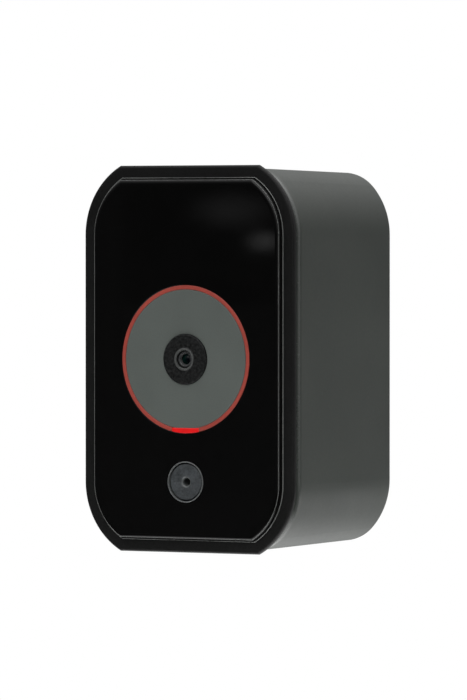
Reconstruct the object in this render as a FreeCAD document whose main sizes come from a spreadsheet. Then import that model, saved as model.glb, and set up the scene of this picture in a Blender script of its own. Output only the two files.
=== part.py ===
"""Video doorbell: a deep satin case with a framed glass face, a ring-lit camera and a call button.

Frame: millimetres, +Z up, the wall is the plane Y = 0 and the face looks along -Y. "Depth" below is
the distance from the wall towards the face, so a point at depth d lies at Y = -d. The origin is on
the wall face of the bracket, at half the height of the case.
"""

import FreeCAD
import Part
import Sketcher

import math
import os
from types import SimpleNamespace

SIZES = {
    # The master outline: two straight sides, four large arcs, and a flat cut across top and bottom.
    "half_height": 54.0,
    "corner_x": 12.0,
    "corner_z": 34.6,
    "corner_r": 22.0,
    # Depths of the case.
    "rear_lip": 0.5,
    "back_wall_rear": 7.0,
    "back_wall_front": 9.5,
    "case_front": 58.1,
    "bezel_rear": 58.5,
    "bezel_front": 60.0,
    "glass_front": 61.6,
    "glass_thick": 2.2,
    "seal_thick": 0.4,
    # Insets from the master outline.
    "overhang": 0.8,
    "draft": 0.9,
    "wall": 2.6,
    "rim": 4.4,
    "rim_deep": 7.6,
    "window_inset": 3.8,
    "ledge_inset": 7.0,
    "slip": 0.15,
    # Rounding of the case.
    "front_round": 3.8,
    "rear_round": 3.0,
    "corner_round": 12.0,
    "edge_round": 0.6,
    # Camera and its ring, on the axis of the face.
    "ring_r": 20.65,
    "ring_inner_r": 19.45,
    "ring_flange_r": 22.2,
    "plate_rear": 59.2,
    "status_half": 4.3,
    "status_chord": 18.95,
    "nose_r": 7.0,
    "nose_front": 62.1,
    "lip_r": 2.9,
    "lens_r": 1.35,
    "barrel_r": 6.0,
    # Call button.
    "button_z": -34.2,
    "button_r": 5.0,
    "button_front": 61.2,
    "guide_r": 5.75,
    "guide_bore": 5.35,
    "sound_r": 1.05,
    # Boards and frame inside.
    "board_thick": 1.6,
    "front_board": 53.8,
    "chassis_rear": 44.0,
    "chassis_thick": 2.0,
    "main_board": 34.0,
    "power_board": 12.0,
    "post_x": 22.5,
    "post_z": 27.0,
    "post_r": 3.2,
    "boss_x": 24.0,
    "boss_z": 40.0,
    "boss_r": 3.2,
    "standoff_x": 15.5,
    "standoff_z": 36.0,
    # Wall bracket.
    "bracket_thick": 2.0,
    "bracket_gap": 0.5,
    "wall_hole_pitch": 83.3,
    "wall_hole_r": 2.25,
    "window_half": 18.0,
    "window_top": -3.0,
    "window_low": -28.0,
    "hook_near": 8.0,
    "hook_far": 18.0,
    "lock_depth": 4.4,
    "lock_r": 1.25,
    # Terminals.
    "terminal_x": 10.0,
    "terminal_z": -20.0,
    "terminal_r": 2.5,
    # Speaker.
    "speaker_depth": 21.5,
    "speaker_r": 10.6,
}

doc = FreeCAD.newDocument("doorbell")
sheet = doc.addObject("Spreadsheet::Sheet", "Dims")
for row, (alias, value) in enumerate(SIZES.items(), start=1):
    sheet.set(f"A{row}", alias)
    sheet.set(f"B{row}", str(value))
    sheet.setAlias(f"B{row}", alias)
doc.recompute()


class Length:
    """A length in millimetres that carries its value and how it follows from the spreadsheet."""

    def __init__(self, value, text):
        self.value = value
        self.text = text

    def __add__(self, other):
        other = length(other)
        return Length(self.value + other.value, f"({self.text} + {other.text})")

    def __sub__(self, other):
        other = length(other)
        return Length(self.value - other.value, f"({self.text} - {other.text})")

    def __mul__(self, other):
        other = length(other)
        return Length(self.value * other.value, f"({self.text} * {other.text})")

    def __neg__(self):
        return Length(-self.value, f"(-1 * {self.text})")

    def __radd__(self, other):
        return length(other) + self

    def __rsub__(self, other):
        return length(other) - self

    def __rmul__(self, other):
        return length(other) * self


def length(thing):
    """A plain number or a length, as a length."""
    return thing if isinstance(thing, Length) else Length(float(thing), f"({float(thing)})")


def root(thing):
    """The square root of a squared length."""
    return Length(math.sqrt(thing.value), f"sqrt({thing.text})")


# Every driving dimension, by name, bound to its own cell.
d = SimpleNamespace(**{alias: Length(value, f"Dims.{alias}") for alias, value in SIZES.items()})

TURN_TO_FACE = FreeCAD.Rotation(FreeCAD.Vector(1, 0, 0), 90)
SIDES = ((-1, -1), (-1, 1), (1, -1), (1, 1))
nodes = []


def size(thing):
    """The value of a length, in millimetres."""
    return length(thing).value


def bind(thing, **properties):
    """Binds properties of a document object to lengths, so that they follow the spreadsheet."""
    for name, value in properties.items():
        thing.setExpression(name.replace("__", "."), length(value).text)


def node(thing, label):
    """Names the finished sub-part and keeps it for export."""
    thing.Label = label
    nodes.append(thing)
    return thing


# ---------------------------------------------------------------- primitives and booleans


def place(thing, x, y, z):
    """Binds where a primitive stands."""
    bind(thing, Placement__Base__x=x, Placement__Base__y=y, Placement__Base__z=z)
    return thing


def box(name, x, depth, z):
    """A block between two lengths each way: across, from the wall, and up."""
    block = doc.addObject("Part::Box", name)
    bind(block, Length=x[1] - x[0], Width=depth[1] - depth[0], Height=z[1] - z[0])
    return place(block, x[0], -depth[1], z[0])


def rod(name, x, z, depth, radius):
    """A cylinder on an axis square to the wall, between two depths."""
    bar = doc.addObject("Part::Cylinder", name)
    bar.Placement = FreeCAD.Placement(FreeCAD.Vector(), TURN_TO_FACE)
    bind(bar, Radius=radius, Height=depth[1] - depth[0])
    return place(bar, x, -depth[0], z)


def upright(name, x, depth, z, radius):
    """A cylinder on a vertical axis, between two heights."""
    bar = doc.addObject("Part::Cylinder", name)
    bind(bar, Radius=radius, Height=z[1] - z[0])
    return place(bar, x, -depth, z[0])


def fuse(name, *pieces):
    """One solid from several that overlap or touch."""
    whole = doc.addObject("Part::MultiFuse", name)
    whole.Shapes = list(pieces)
    whole.Refine = True
    return whole


def cut(name, base, *tools):
    """The base with each tool taken out of it."""
    last = len(tools) - 1
    for number, tool in enumerate(tools):
        piece = doc.addObject("Part::Cut", name if number == last else f"{name}_{number}")
        piece.Base = base
        piece.Tool = tool
        base = piece
    return base


def common(name, *pieces):
    """What several solids share."""
    shared = doc.addObject("Part::MultiCommon", name)
    shared.Shapes = list(pieces)
    return shared


def group(name, pieces):
    """Several separate solids in one sub-part."""
    whole = doc.addObject("Part::Compound", name)
    whole.Links = list(pieces)
    return whole


def round_edges(name, base, radius, test):
    """Fillets of one radius on the edges that the test picks."""
    doc.recompute()
    rounded = doc.addObject("Part::Fillet", name)
    rounded.Base = base
    picked = [n for n, edge in enumerate(base.Shape.Edges, start=1) if test(edge)]
    rounded.Edges = [(n, size(radius), size(radius)) for n in picked]
    return rounded


# ---------------------------------------------------------------- sketches and features


def sketch_on(body, name, role, offset=0):
    """A sketch on one of the body's own origin planes, moved along that plane's normal."""
    plane = next(o for o in body.Origin.OriginFeatures if o.Role == role)
    sketch = body.newObject("Sketcher::SketchObject", name)
    sketch.AttachmentSupport = [(plane, "")]
    sketch.MapMode = "FlatFace"
    bind(sketch, AttachmentOffset__Base__z=offset)
    return sketch


def pin(sketch, axis, geometry, point, where):
    """Holds one coordinate of a sketch point at a length."""
    where = length(where)
    value = where.value
    if abs(value) < 1e-9:
        other_axis = -2 if axis == "X" else -1
        sketch.addConstraint(Sketcher.Constraint("PointOnObject", geometry, point, other_axis))
        return
    ends = (-1, 1, geometry, point) if value > 0 else (geometry, point, -1, 1)
    number = sketch.addConstraint(Sketcher.Constraint(f"Distance{axis}", *ends, abs(value)))
    bind(sketch, **{f"Constraints[{number}]": where if value > 0 else -where})


def polygon(sketch, points):
    """A closed run of straight edges through points given as pairs of lengths."""
    at = [FreeCAD.Vector(size(x), size(y), 0) for x, y in points]
    first = sketch.GeometryCount
    for start, end in zip(at, at[1:] + at[:1]):
        sketch.addGeometry(Part.LineSegment(start, end))
    for number, (x, y) in enumerate(points):
        after = first + (number + 1) % len(points)
        sketch.addConstraint(Sketcher.Constraint("Coincident", first + number, 2, after, 1))
        pin(sketch, "X", first + number, 1, x)
        pin(sketch, "Y", first + number, 1, y)


def circle(sketch, x, y, radius):
    """A circle with its centre and radius at lengths."""
    centre = FreeCAD.Vector(size(x), size(y), 0)
    geometry = sketch.addGeometry(Part.Circle(centre, FreeCAD.Vector(0, 0, 1), size(radius)))
    number = sketch.addConstraint(Sketcher.Constraint("Radius", geometry, size(radius)))
    bind(sketch, **{f"Constraints[{number}]": radius})
    pin(sketch, "X", geometry, 3, x)
    pin(sketch, "Y", geometry, 3, y)


def outline(sketch, inset):
    """The master outline, moved inwards everywhere by the inset.

    Each corner arc keeps its centre and loses the inset from its radius, and the flat cut across the
    top and bottom ends where it meets the arcs.
    """
    radius = d.corner_r - inset
    top = d.half_height - inset
    rise = top - d.corner_z
    side = d.corner_x + radius
    flat = d.corner_x + root(radius * radius - rise * rise)
    corners = []
    for right, up in ((1, 1), (1, -1), (-1, -1), (-1, 1)):
        ends = [(right * flat, up * top), (right * side, up * d.corner_z)]
        corners.append((ends if right == up else ends[::-1], (right, up)))
    count = 0
    for (start, end), (right, up) in corners:
        a, b = (FreeCAD.Vector(size(x), size(z), 0) for x, z in (start, end))
        centre = FreeCAD.Vector(right * size(d.corner_x), up * size(d.corner_z), 0)
        middle = (a + b) * 0.5 - centre
        mid = centre + middle * (size(radius) / middle.Length)
        sketch.addGeometry(Part.Arc(a, mid, b))
        arc_start, arc_end = (1, 2) if near(sketch, count, 1, a) else (2, 1)
        for point, (x, z) in ((arc_start, start), (arc_end, end)):
            pin(sketch, "X", count, point, x)
            pin(sketch, "Y", count, point, z)
        number = sketch.addConstraint(Sketcher.Constraint("Radius", count, size(radius)))
        bind(sketch, **{f"Constraints[{number}]": radius})
        count += 1
    for arc in range(4):
        following = (arc + 1) % 4
        a = sketch.getPoint(arc, end_of(sketch, arc, corners[arc][0][1]))
        b = sketch.getPoint(following, end_of(sketch, following, corners[following][0][0]))
        line = sketch.addGeometry(Part.LineSegment(a, b))
        for point, (geometry, corner) in (
            (1, (arc, corners[arc][0][1])),
            (2, (following, corners[following][0][0])),
        ):
            end = end_of(sketch, geometry, corner)
            sketch.addConstraint(Sketcher.Constraint("Coincident", line, point, geometry, end))


def near(sketch, geometry, point, where):
    """Whether a sketch point is at a place."""
    return (sketch.getPoint(geometry, point) - where).Length < 1e-6


def end_of(sketch, geometry, corner):
    """Which end of an arc lies at a pair of lengths."""
    where = FreeCAD.Vector(size(corner[0]), size(corner[1]), 0)
    return 1 if near(sketch, geometry, 1, where) else 2


def feature(body, kind, name, profile, **settings):
    """A PartDesign feature on a sketch, with plain settings."""
    made = body.newObject(f"PartDesign::{kind}", name)
    made.Profile = profile
    for key, value in settings.items():
        setattr(made, key, value)
    return made


def pad(body, name, sketch, length, **settings):
    """Adds the sketch's shape along its normal."""
    made = feature(body, "Pad", name, sketch, **settings)
    bind(made, Length=length)
    return made


def pocket(body, name, sketch, length, **settings):
    """Takes the sketch's shape out, along its normal."""
    made = feature(body, "Pocket", name, sketch, Reversed=True, **settings)
    bind(made, Length=length)
    return made


def smooth(body, name, radius, test, kind="Fillet"):
    """Fillets or chamfers, in a body, on the edges that the test picks."""
    doc.recompute()
    tip = body.Tip
    picked = [f"Edge{n}" for n, edge in enumerate(tip.Shape.Edges, start=1) if test(edge)]
    made = body.newObject(f"PartDesign::{kind}", name)
    made.Base = (tip, picked)
    bind(made, **{"Radius" if kind == "Fillet" else "Size": radius})
    return made


def plate(name, depth, outer, inner=None, holes=()):
    """A flat piece with the master outline between two depths, with an optional opening and holes."""
    body = doc.addObject("PartDesign::Body", name)
    sketch = sketch_on(body, f"{name}_outline", "XZ_Plane", depth[0])
    outline(sketch, outer)
    pad(body, f"{name}_pad", sketch, depth[1] - depth[0])
    if inner is not None:
        opening = sketch_on(body, f"{name}_inner", "XZ_Plane", depth[0])
        outline(opening, inner)
        pocket(body, f"{name}_opening", opening, depth[1] - depth[0])
    for number, (x, z, radius) in enumerate(holes):
        hole = sketch_on(body, f"{name}_hole_{number}", "XZ_Plane", depth[0])
        circle(hole, x, z, radius)
        pocket(body, f"{name}_bore_{number}", hole, depth[1] - depth[0])
    return body


def turned(name, profile, z=0):
    """A piece turned about an axis square to the wall, from pairs of radius and depth."""
    body = doc.addObject("PartDesign::Body", name)
    sketch = sketch_on(body, f"{name}_profile", "XY_Plane")
    polygon(sketch, [(radius, -depth) for radius, depth in profile])
    feature(body, "Revolution", f"{name}_turn", sketch, ReferenceAxis=(sketch, ["V_Axis"]), Angle=360.0)
    bind(body, Placement__Base__z=z)
    return body


def washer(outer, inner, depth):
    """The profile of a plain ring, as pairs of radius and depth."""
    return [(inner, depth[0]), (outer, depth[0]), (outer, depth[1]), (inner, depth[1])]


def screw(name, x, z, head, tip, radius, head_r, head_high, drive=0.9):
    """A pan-head screw driven towards the face from the rear, with a round drive recess."""
    shank = rod(f"{name}_shank", x, z, (head, tip), radius)
    cap = rod(f"{name}_cap", x, z, (head - head_high, head), head_r)
    recess = rod(f"{name}_recess", x, z, (head - head_high, head - 0.35 * head_high), drive)
    return cut(name, fuse(f"{name}_body", shank, cap), recess)


def along_depth(edge, low, high):
    """Whether an edge stays within two depths."""
    return all(size(low) - 1e-3 <= -v.Y <= size(high) + 1e-3 for v in edge.Vertexes)


def on_plane(edge, depth):
    """Whether an edge lies in the plane at one depth."""
    return along_depth(edge, depth, depth)


def across_cut(edge):
    """Whether an edge runs in depth where a corner arc meets the flat cut above or below."""
    level = {round(-v.Y, 3) for v in edge.Vertexes}
    return len(level) == 2 and all(abs(v.Z) > size(d.corner_z + d.corner_r * 0.7) for v in edge.Vertexes)


# ---------------------------------------------------------------- case


def make_housing():
    """The deep shell: drafted, open to the face, with a back wall and a recess for the bracket."""
    body = doc.addObject("PartDesign::Body", "housing")
    rear = sketch_on(body, "housing_rear", "XZ_Plane", d.rear_lip)
    outline(rear, d.overhang + d.draft)
    front = sketch_on(body, "housing_front", "XZ_Plane", d.case_front)
    outline(front, d.overhang)
    feature(body, "AdditiveLoft", "housing_loft", rear, Sections=[front], Ruled=True)
    smooth(body, "housing_corner_edge", d.corner_round, across_cut)
    smooth(body, "housing_front_edge", d.front_round, lambda e: on_plane(e, d.case_front))
    smooth(body, "housing_rear_edge", d.rear_round, lambda e: on_plane(e, d.rear_lip))

    floor = sketch_on(body, "cavity_floor", "XZ_Plane", d.back_wall_front)
    outline(floor, d.overhang + d.wall + d.draft * 0.84)
    mouth = sketch_on(body, "cavity_mouth", "XZ_Plane", d.case_front - d.rim_deep)
    outline(mouth, d.overhang + d.wall + d.draft * 0.12)
    feature(body, "SubtractiveLoft", "cavity", floor, Sections=[mouth], Ruled=True)
    rim = sketch_on(body, "cavity_rim", "XZ_Plane", d.case_front - d.rim_deep)
    outline(rim, d.overhang + d.rim)
    pocket(body, "cavity_rim_pocket", rim, d.rim_deep)
    recess = sketch_on(body, "rear_recess", "XZ_Plane", d.rear_lip)
    outline(recess, d.overhang + d.draft + d.wall)
    pocket(body, "rear_recess_pocket", recess, d.back_wall_rear - d.rear_lip)

    holes = sketch_on(body, "back_holes", "XZ_Plane", d.back_wall_rear)
    for right, up in SIDES:
        circle(holes, right * d.post_x, up * d.post_z, 1.65)
    for right in (-1, 1):
        circle(holes, right * d.terminal_x, d.terminal_z, d.terminal_r)
    pocket(body, "back_holes_pocket", holes, d.back_wall_front - d.back_wall_rear)

    for right, side in ((1, "right"), (-1, "left")):
        hanger = sketch_on(body, f"hanger_{side}", "YZ_Plane", right * 0.5 * (d.hook_near + d.hook_far))
        polygon(
            hanger,
            [
                (-(d.back_wall_rear + 0.2), 41),
                (-2.8, 41),
                (-2.8, 36),
                (-4.4, 36),
                (-4.4, 39),
                (-(d.back_wall_rear + 0.2), 39),
            ],
        )
        pad(body, f"hanger_{side}_pad", hanger, d.hook_far - d.hook_near + 2, Midplane=True)

    lock = sketch_on(body, "lock_hole", "XY_Plane", -d.half_height)
    circle(lock, 0, -d.lock_depth, 1.6)
    pocket(body, "lock_hole_pocket", lock, 8)
    seat = sketch_on(body, "lock_seat", "XY_Plane", -d.half_height)
    circle(seat, 0, -d.lock_depth, 2.8)
    pocket(body, "lock_seat_pocket", seat, 3.6)
    well = sketch_on(body, "speaker_well", "XY_Plane", -d.half_height + 3.6)
    circle(well, 0, -d.speaker_depth, d.speaker_r + 1.6)
    circle(well, 0, -d.speaker_depth, d.speaker_r + d.slip)
    pad(body, "speaker_well_pad", well, 6.4)
    slots = sketch_on(body, "sound_slots", "XY_Plane", -d.half_height)
    for number in range(5):
        near_edge = 14.8 + 3.0 * number
        polygon(
            slots,
            [(-7, -near_edge), (7, -near_edge), (7, -near_edge - 1.4), (-7, -near_edge - 1.4)],
        )
    pocket(body, "sound_slots_pocket", slots, 7)
    return node(body, "housing")


def make_bezel():
    """The frame round the glass: a flange, a tongue into the case, a ledge under the glass, four bosses."""
    body = doc.addObject("PartDesign::Body", "front_bezel")
    flange = sketch_on(body, "bezel_flange", "XZ_Plane", d.bezel_rear)
    outline(flange, 0)
    pad(body, "bezel_flange_pad", flange, d.bezel_front - d.bezel_rear)
    tongue = sketch_on(body, "bezel_tongue", "XZ_Plane", d.bezel_rear - 5)
    outline(tongue, d.overhang + d.rim + d.slip)
    pad(body, "bezel_tongue_pad", tongue, 5)
    ledge = d.glass_front - d.glass_thick - d.seal_thick
    window = sketch_on(body, "bezel_window", "XZ_Plane", ledge)
    outline(window, d.window_inset - d.slip)
    pocket(body, "bezel_window_pocket", window, d.bezel_front - ledge)
    through = sketch_on(body, "bezel_through", "XZ_Plane", d.bezel_rear - 5)
    outline(through, d.ledge_inset)
    pocket(body, "bezel_through_pocket", through, 8)
    bosses = sketch_on(body, "bezel_bosses", "XZ_Plane", d.chassis_rear + d.chassis_thick)
    for right, up in SIDES:
        circle(bosses, right * d.boss_x, up * d.boss_z, d.boss_r)
    pad(body, "bezel_bosses_pad", bosses, ledge - d.chassis_rear - d.chassis_thick)
    pilots = sketch_on(body, "bezel_pilots", "XZ_Plane", d.chassis_rear + d.chassis_thick)
    for right, up in SIDES:
        circle(pilots, right * d.boss_x, up * d.boss_z, 1.0)
    pocket(body, "bezel_pilots_pocket", pilots, 7)
    smooth(body, "bezel_rim", d.edge_round, lambda e: on_plane(e, d.bezel_front) and outermost(e))
    return node(body, "front_bezel")


def outermost(edge):
    """Whether an edge lies on the uninset master outline."""
    middle = edge.valueAt(0.5 * (edge.FirstParameter + edge.LastParameter))
    side = size(d.corner_x + d.corner_r)
    on_side = abs(abs(middle.x) - side) < 1e-3
    on_top = abs(abs(middle.z) - size(d.half_height)) < 1e-3
    from_centre = (abs(middle.x) - size(d.corner_x), abs(middle.z) - size(d.corner_z))
    on_arc = abs(FreeCAD.Vector(*from_centre, 0).Length - size(d.corner_r)) < 1e-3
    return on_side or on_top or on_arc


def make_face():
    """The glass panel, the foam tape that holds it, and the gasket between bezel and case."""
    openings = ((0, 0, d.ring_r), (0, d.button_z, d.guide_r))
    glass = plate(
        "front_glass",
        (d.glass_front - d.glass_thick, d.glass_front),
        d.window_inset,
        holes=openings,
    )
    smooth(
        glass,
        "glass_bevel",
        0.35,
        lambda e: on_plane(e, d.glass_front) and not is_round(e),
        kind="Chamfer",
    )
    node(glass, "front_glass")
    tape = plate(
        "glass_tape",
        (d.glass_front - d.glass_thick - d.seal_thick, d.glass_front - d.glass_thick),
        d.window_inset + 0.2,
        inner=d.ledge_inset,
    )
    node(tape, "glass_tape")
    gasket = plate(
        "case_gasket",
        (d.case_front, d.bezel_rear),
        d.overhang + d.front_round - 0.6,
        inner=d.overhang + d.rim + d.slip,
    )
    node(gasket, "case_gasket")


def is_round(edge):
    """Whether an edge is a full circle."""
    return len(edge.Vertexes) == 1


# ---------------------------------------------------------------- ring light and camera


def make_ring_light():
    """The red light ring, its bright status segment and the grey plate inside it."""
    guide = turned(
        "ring_solid",
        [
            (17.5, 55.6),
            (d.ring_flange_r, 55.6),
            (d.ring_flange_r, d.glass_front - d.glass_thick),
            (d.ring_r, d.glass_front - d.glass_thick),
            (d.ring_r, d.glass_front),
            (d.ring_inner_r, d.glass_front),
            (d.ring_inner_r, d.plate_rear),
            (17.5, d.plate_rear),
        ],
    )
    window = (-d.status_half, d.status_half), (d.plate_rear - 1, 70), (-30, -d.status_chord)
    node(cut("ring_cut", guide, box("ring_notch", *window)), "light_ring")
    disc = rod("status_disc", 0, 0, (d.plate_rear - 1, d.glass_front), d.ring_r)
    status = common("status_pipe", disc, box("status_block", *window))
    node(status, "status_light")
    camera_plate = turned("plate_solid", washer(d.ring_inner_r, d.nose_r, (d.plate_rear, d.glass_front)))
    node(cut("plate_cut", camera_plate, box("plate_notch", *window)), "camera_plate")


def make_lens_nose():
    """The textured nose round the lens, with a raised lip and a flange behind the grey plate."""
    nose = turned(
        "lens_nose_solid",
        [
            (6.35, 55.8),
            (9, 55.8),
            (9, d.plate_rear),
            (d.nose_r, d.plate_rear),
            (d.nose_r, d.nose_front - 0.35),
            (d.nose_r - 0.35, d.nose_front),
            (d.lip_r + 0.4, d.nose_front),
            (d.lip_r + 0.1, d.nose_front + 0.45),
            (d.lip_r - 0.25, d.nose_front + 0.45),
            (2.3, d.nose_front + 0.1),
            (2.3, 60.1),
            (6.35, 57.4),
        ],
    )
    return node(nose, "lens_nose")


def make_lens():
    """The threaded lens barrel with its front and rear glass elements."""
    barrel = turned(
        "barrel_solid",
        [
            (4.6, 47),
            (d.barrel_r, 47),
            (d.barrel_r, 57.2),
            (2.2, 59.9),
            (2.2, 61.9),
            (1.75, 61.9),
            (d.lens_r, 61.3),
            (d.lens_r, 60.3),
            (1.0, 60.3),
            (1.0, 59.3),
            (3.4, 56.6),
            (4.6, 56.6),
        ],
    )
    node(barrel, "lens_barrel")
    ball = doc.addObject("Part::Sphere", "lens_ball")
    bind(ball, Radius=1.9)
    place(ball, 0, -59.5, 0)
    node(common("lens_cap", ball, rod("lens_core", 0, 0, (60.3, 62), d.lens_r)), "front_lens")
    big = doc.addObject("Part::Sphere", "rear_ball")
    bind(big, Radius=9)
    place(big, 0, -44, 0)
    node(common("rear_cap", big, rod("rear_core", 0, 0, (50, 55), 4.6)), "rear_lens")


def make_camera_board():
    """The lens holder, infrared filter, image sensor and the board that carries them."""
    front = d.chassis_rear
    block = box("holder_block", (-8, 8), (front, front + 8), (-8, 8))
    bore = rod("holder_bore", 0, 0, (front + 2, front + 8), d.barrel_r)
    chamber = box("holder_chamber", (-5, 5), (front, front + 1.4), (-5, 5))
    aperture = box("holder_aperture", (-3.5, 3.5), (front + 1.4, front + 2), (-3.5, 3.5))
    node(cut("holder_solid", block, bore, chamber, aperture), "lens_holder")
    node(box("ir_glass", (-4.2, 4.2), (front + 1.1, front + 1.4), (-4.2, 4.2)), "ir_filter")
    node(box("sensor_chip", (-4, 4), (front, front + 0.9), (-3.5, 3.5)), "image_sensor")
    board = box("camera_blank", (-15, 15), (front - 1.2, front), (-13, 13))
    holes = [rod(f"camera_hole_{n}", s * 12.2, 0, (40, 48), 1.1) for n, s in enumerate((-1, 1))]
    node(cut("camera_pcb", board, *holes), "camera_board")
    screws = [
        screw(f"camera_screw_{n}", s * 12.2, 0, front - 1.2, front + 1.9, 1.0, 1.9, 1.3)
        for n, s in enumerate((-1, 1))
    ]
    node(group("camera_screw_set", screws), "camera_screws")
    body = doc.addObject("PartDesign::Body", "camera_ribbon")
    run = sketch_on(body, "ribbon_run", "YZ_Plane")
    socket_rear, lead, film = front - 2.4, 3.0, 0.2
    low = d.main_board + d.board_thick + 1.2 + film
    polygon(
        run,
        [
            (-socket_rear, -6),
            (-socket_rear, -6 - lead),
            (-low, -20),
            (-low, -26),
            (-(low - film), -26),
            (-(low - film), -20),
            (-(socket_rear - film), -6 - lead),
            (-(socket_rear - film), -6),
        ],
    )
    pad(body, "ribbon_pad", run, 8, Midplane=True)
    node(body, "camera_ribbon")
    sockets = [
        box("ribbon_socket_camera", (-5.5, 5.5), (front - 2.4, front - 1.2), (-8.5, -4.5)),
        box("ribbon_socket_main", (-5.5, 5.5), (low - 1.2 - film, low - film), (-26, -22)),
    ]
    node(group("ribbon_socket_set", sockets), "ribbon_sockets")


# ---------------------------------------------------------------- call button


def make_button():
    """The call button: guide bush, cap, silicone dome, carbon ring and the microphone behind its hole."""
    guide = turned(
        "guide_solid",
        [
            (d.guide_bore, 57.4),
            (7.4, 57.4),
            (7.4, d.glass_front - d.glass_thick),
            (d.guide_r, d.glass_front - d.glass_thick),
            (d.guide_r, d.glass_front + 0.05),
            (d.guide_r - 0.15, d.glass_front + 0.2),
            (d.guide_bore + 0.1, d.glass_front + 0.2),
            (d.guide_bore, d.glass_front + 0.1),
        ],
        z=d.button_z,
    )
    node(guide, "button_guide")
    cap = turned(
        "cap_solid",
        [
            (d.sound_r, 56.5),
            (6.3, 56.5),
            (6.3, 57.3),
            (d.button_r, 57.3),
            (d.button_r, d.button_front - 0.3),
            (d.button_r - 0.3, d.button_front),
            (d.sound_r + 0.35, d.button_front),
            (d.sound_r, d.button_front - 0.35),
        ],
        z=d.button_z,
    )
    node(cap, "button_cap")
    dome = turned(
        "dome_solid",
        [
            (4.9, d.front_board),
            (7.6, d.front_board),
            (7.6, d.front_board + 0.8),
            (5.3, d.front_board + 0.8),
            (3.7, 56.5),
            (1.3, 56.5),
            (1.3, 55.7),
            (3.3, 55.7),
        ],
        z=d.button_z,
    )
    node(dome, "button_dome")
    contact = turned("contact_solid", washer(3.1, 1.4, (54.9, 55.7)), z=d.button_z)
    node(contact, "contact_ring")
    capsule = box(
        "capsule",
        (-1.9, 1.9),
        (d.front_board - 1.2 - 1.1, d.front_board - 1.2),
        (d.button_z - 1.5, d.button_z + 1.5),
    )
    node(capsule, "microphone")


def make_front_board():
    """The board behind the face, with lamps round the camera and a tongue for the button."""
    depth = (d.front_board - 1.2, d.front_board)
    disc = rod("front_disc", 0, 0, depth, 24.5)
    tongue = box("front_tongue", (-9, 9), depth, (-43, -18))
    eye = rod("front_eye", 0, 0, depth, 9.5)
    port = rod("front_port", 0, d.button_z, depth, 0.6)
    pins = [rod(f"pin_hole_{n}", s * 16, u * 16, depth, 0.95) for n, (s, u) in enumerate(SIDES)]
    node(cut("front_pcb", fuse("front_blank", disc, tongue), eye, port, *pins), "front_board")
    lamps = []
    for number in range(12):
        turn = 30.0 * number + 15.0
        lamp = doc.addObject("Part::Box", f"lamp_{number}")
        bind(lamp, Length=2, Width=0.8, Height=2)
        base = FreeCAD.Placement(FreeCAD.Vector(-1, -size(d.front_board + 0.8), 19), FreeCAD.Rotation())
        about_axis = FreeCAD.Placement(FreeCAD.Vector(), FreeCAD.Rotation(FreeCAD.Vector(0, 1, 0), turn))
        lamp.Placement = about_axis.multiply(base)
        lamps.append(lamp)
    node(group("lamp_set", lamps), "ring_leds")


# ---------------------------------------------------------------- inside frame and electronics


def make_chassis():
    """The moulded frame that the boards stand on, screwed to the bezel and held by the case screws."""
    depth = (d.chassis_rear, d.chassis_rear + d.chassis_thick)
    window = box("chassis_window", (-9.5, 9.5), depth, (-9.5, 9.5))
    slab = plate("chassis_slab", depth, d.overhang + d.rim + d.slip + 0.25)
    holes, solids = [window], []
    for number, (right, up) in enumerate(SIDES):
        post = (right * d.post_x, up * d.post_z)
        boss = (right * d.boss_x, up * d.boss_z)
        stand = (right * d.standoff_x, up * d.standoff_z)
        solids.append(rod(f"post_{number}", *post, (d.back_wall_front, d.chassis_rear), d.post_r))
        holes.append(rod(f"post_pilot_{number}", *post, (d.back_wall_front, 22), 1.25))
        holes.append(rod(f"boss_hole_{number}", *boss, depth, 1.4))
        board_front = d.main_board + d.board_thick
        solids.append(rod(f"standoff_{number}", *stand, (board_front, d.chassis_rear), 2.6))
        holes.append(rod(f"standoff_pilot_{number}", *stand, (board_front, board_front + 6), 1.0))
        pin = (right * 16, up * 16)
        rest = d.front_board - 1.2
        solids.append(rod(f"lamp_post_{number}", *pin, (d.chassis_rear + d.chassis_thick, rest), 1.8))
        solids.append(rod(f"lamp_pin_{number}", *pin, (rest, d.front_board + 0.5), 0.9))
    for number, right in enumerate((-1, 1)):
        holes.append(rod(f"camera_pilot_{number}", right * 12.2, 0, depth, 1.0))
    node(cut("chassis_solid", fuse("chassis_raw", slab, *solids), *holes), "chassis")


def make_main_board():
    """The main board with its shield cans, radio module, chips, aerial and screws."""
    rear = d.main_board
    blank = box("main_blank", (-19, 19), (rear, rear + d.board_thick), (-39.5, 40))
    holes = [
        rod(f"main_hole_{n}", s * d.standoff_x, u * d.standoff_z, (rear, rear + d.board_thick), 1.2)
        for n, (s, u) in enumerate(SIDES)
    ]
    node(cut("main_pcb", blank, *holes), "main_board")
    cans = [
        box("processor_can", (-12, 10), (rear - 2.2, rear), (2, 24)),
        box("radio_can", (-7, 9), (rear - 2.2, rear), (26.5, 32)),
    ]
    node(group("can_set", cans), "shield_cans")
    chips = [
        box("flash_chip", (-15, -7), (rear - 1.1, rear), (-10, -4)),
        box("audio_chip", (4, 11), (rear - 0.9, rear), (-16, -9)),
        box("power_chip", (-3, 2), (rear - 0.9, rear), (-18, -13)),
        box("lead_socket", (6, 14), (rear - 4, rear), (-28, -22.5)),
    ]
    node(group("chip_set", chips), "board_chips")
    screws = [
        screw(f"main_screw_{n}", s * d.standoff_x, u * d.standoff_z, rear, rear + 6.5, 1.0, 1.9, 1.3)
        for n, (s, u) in enumerate(SIDES)
    ]
    node(group("main_screw_set", screws), "board_screws")
    node(box("aerial_strip", (-14, 14), (d.chassis_rear - 0.8, d.chassis_rear), (41, 47)), "wifi_aerial")


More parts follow.
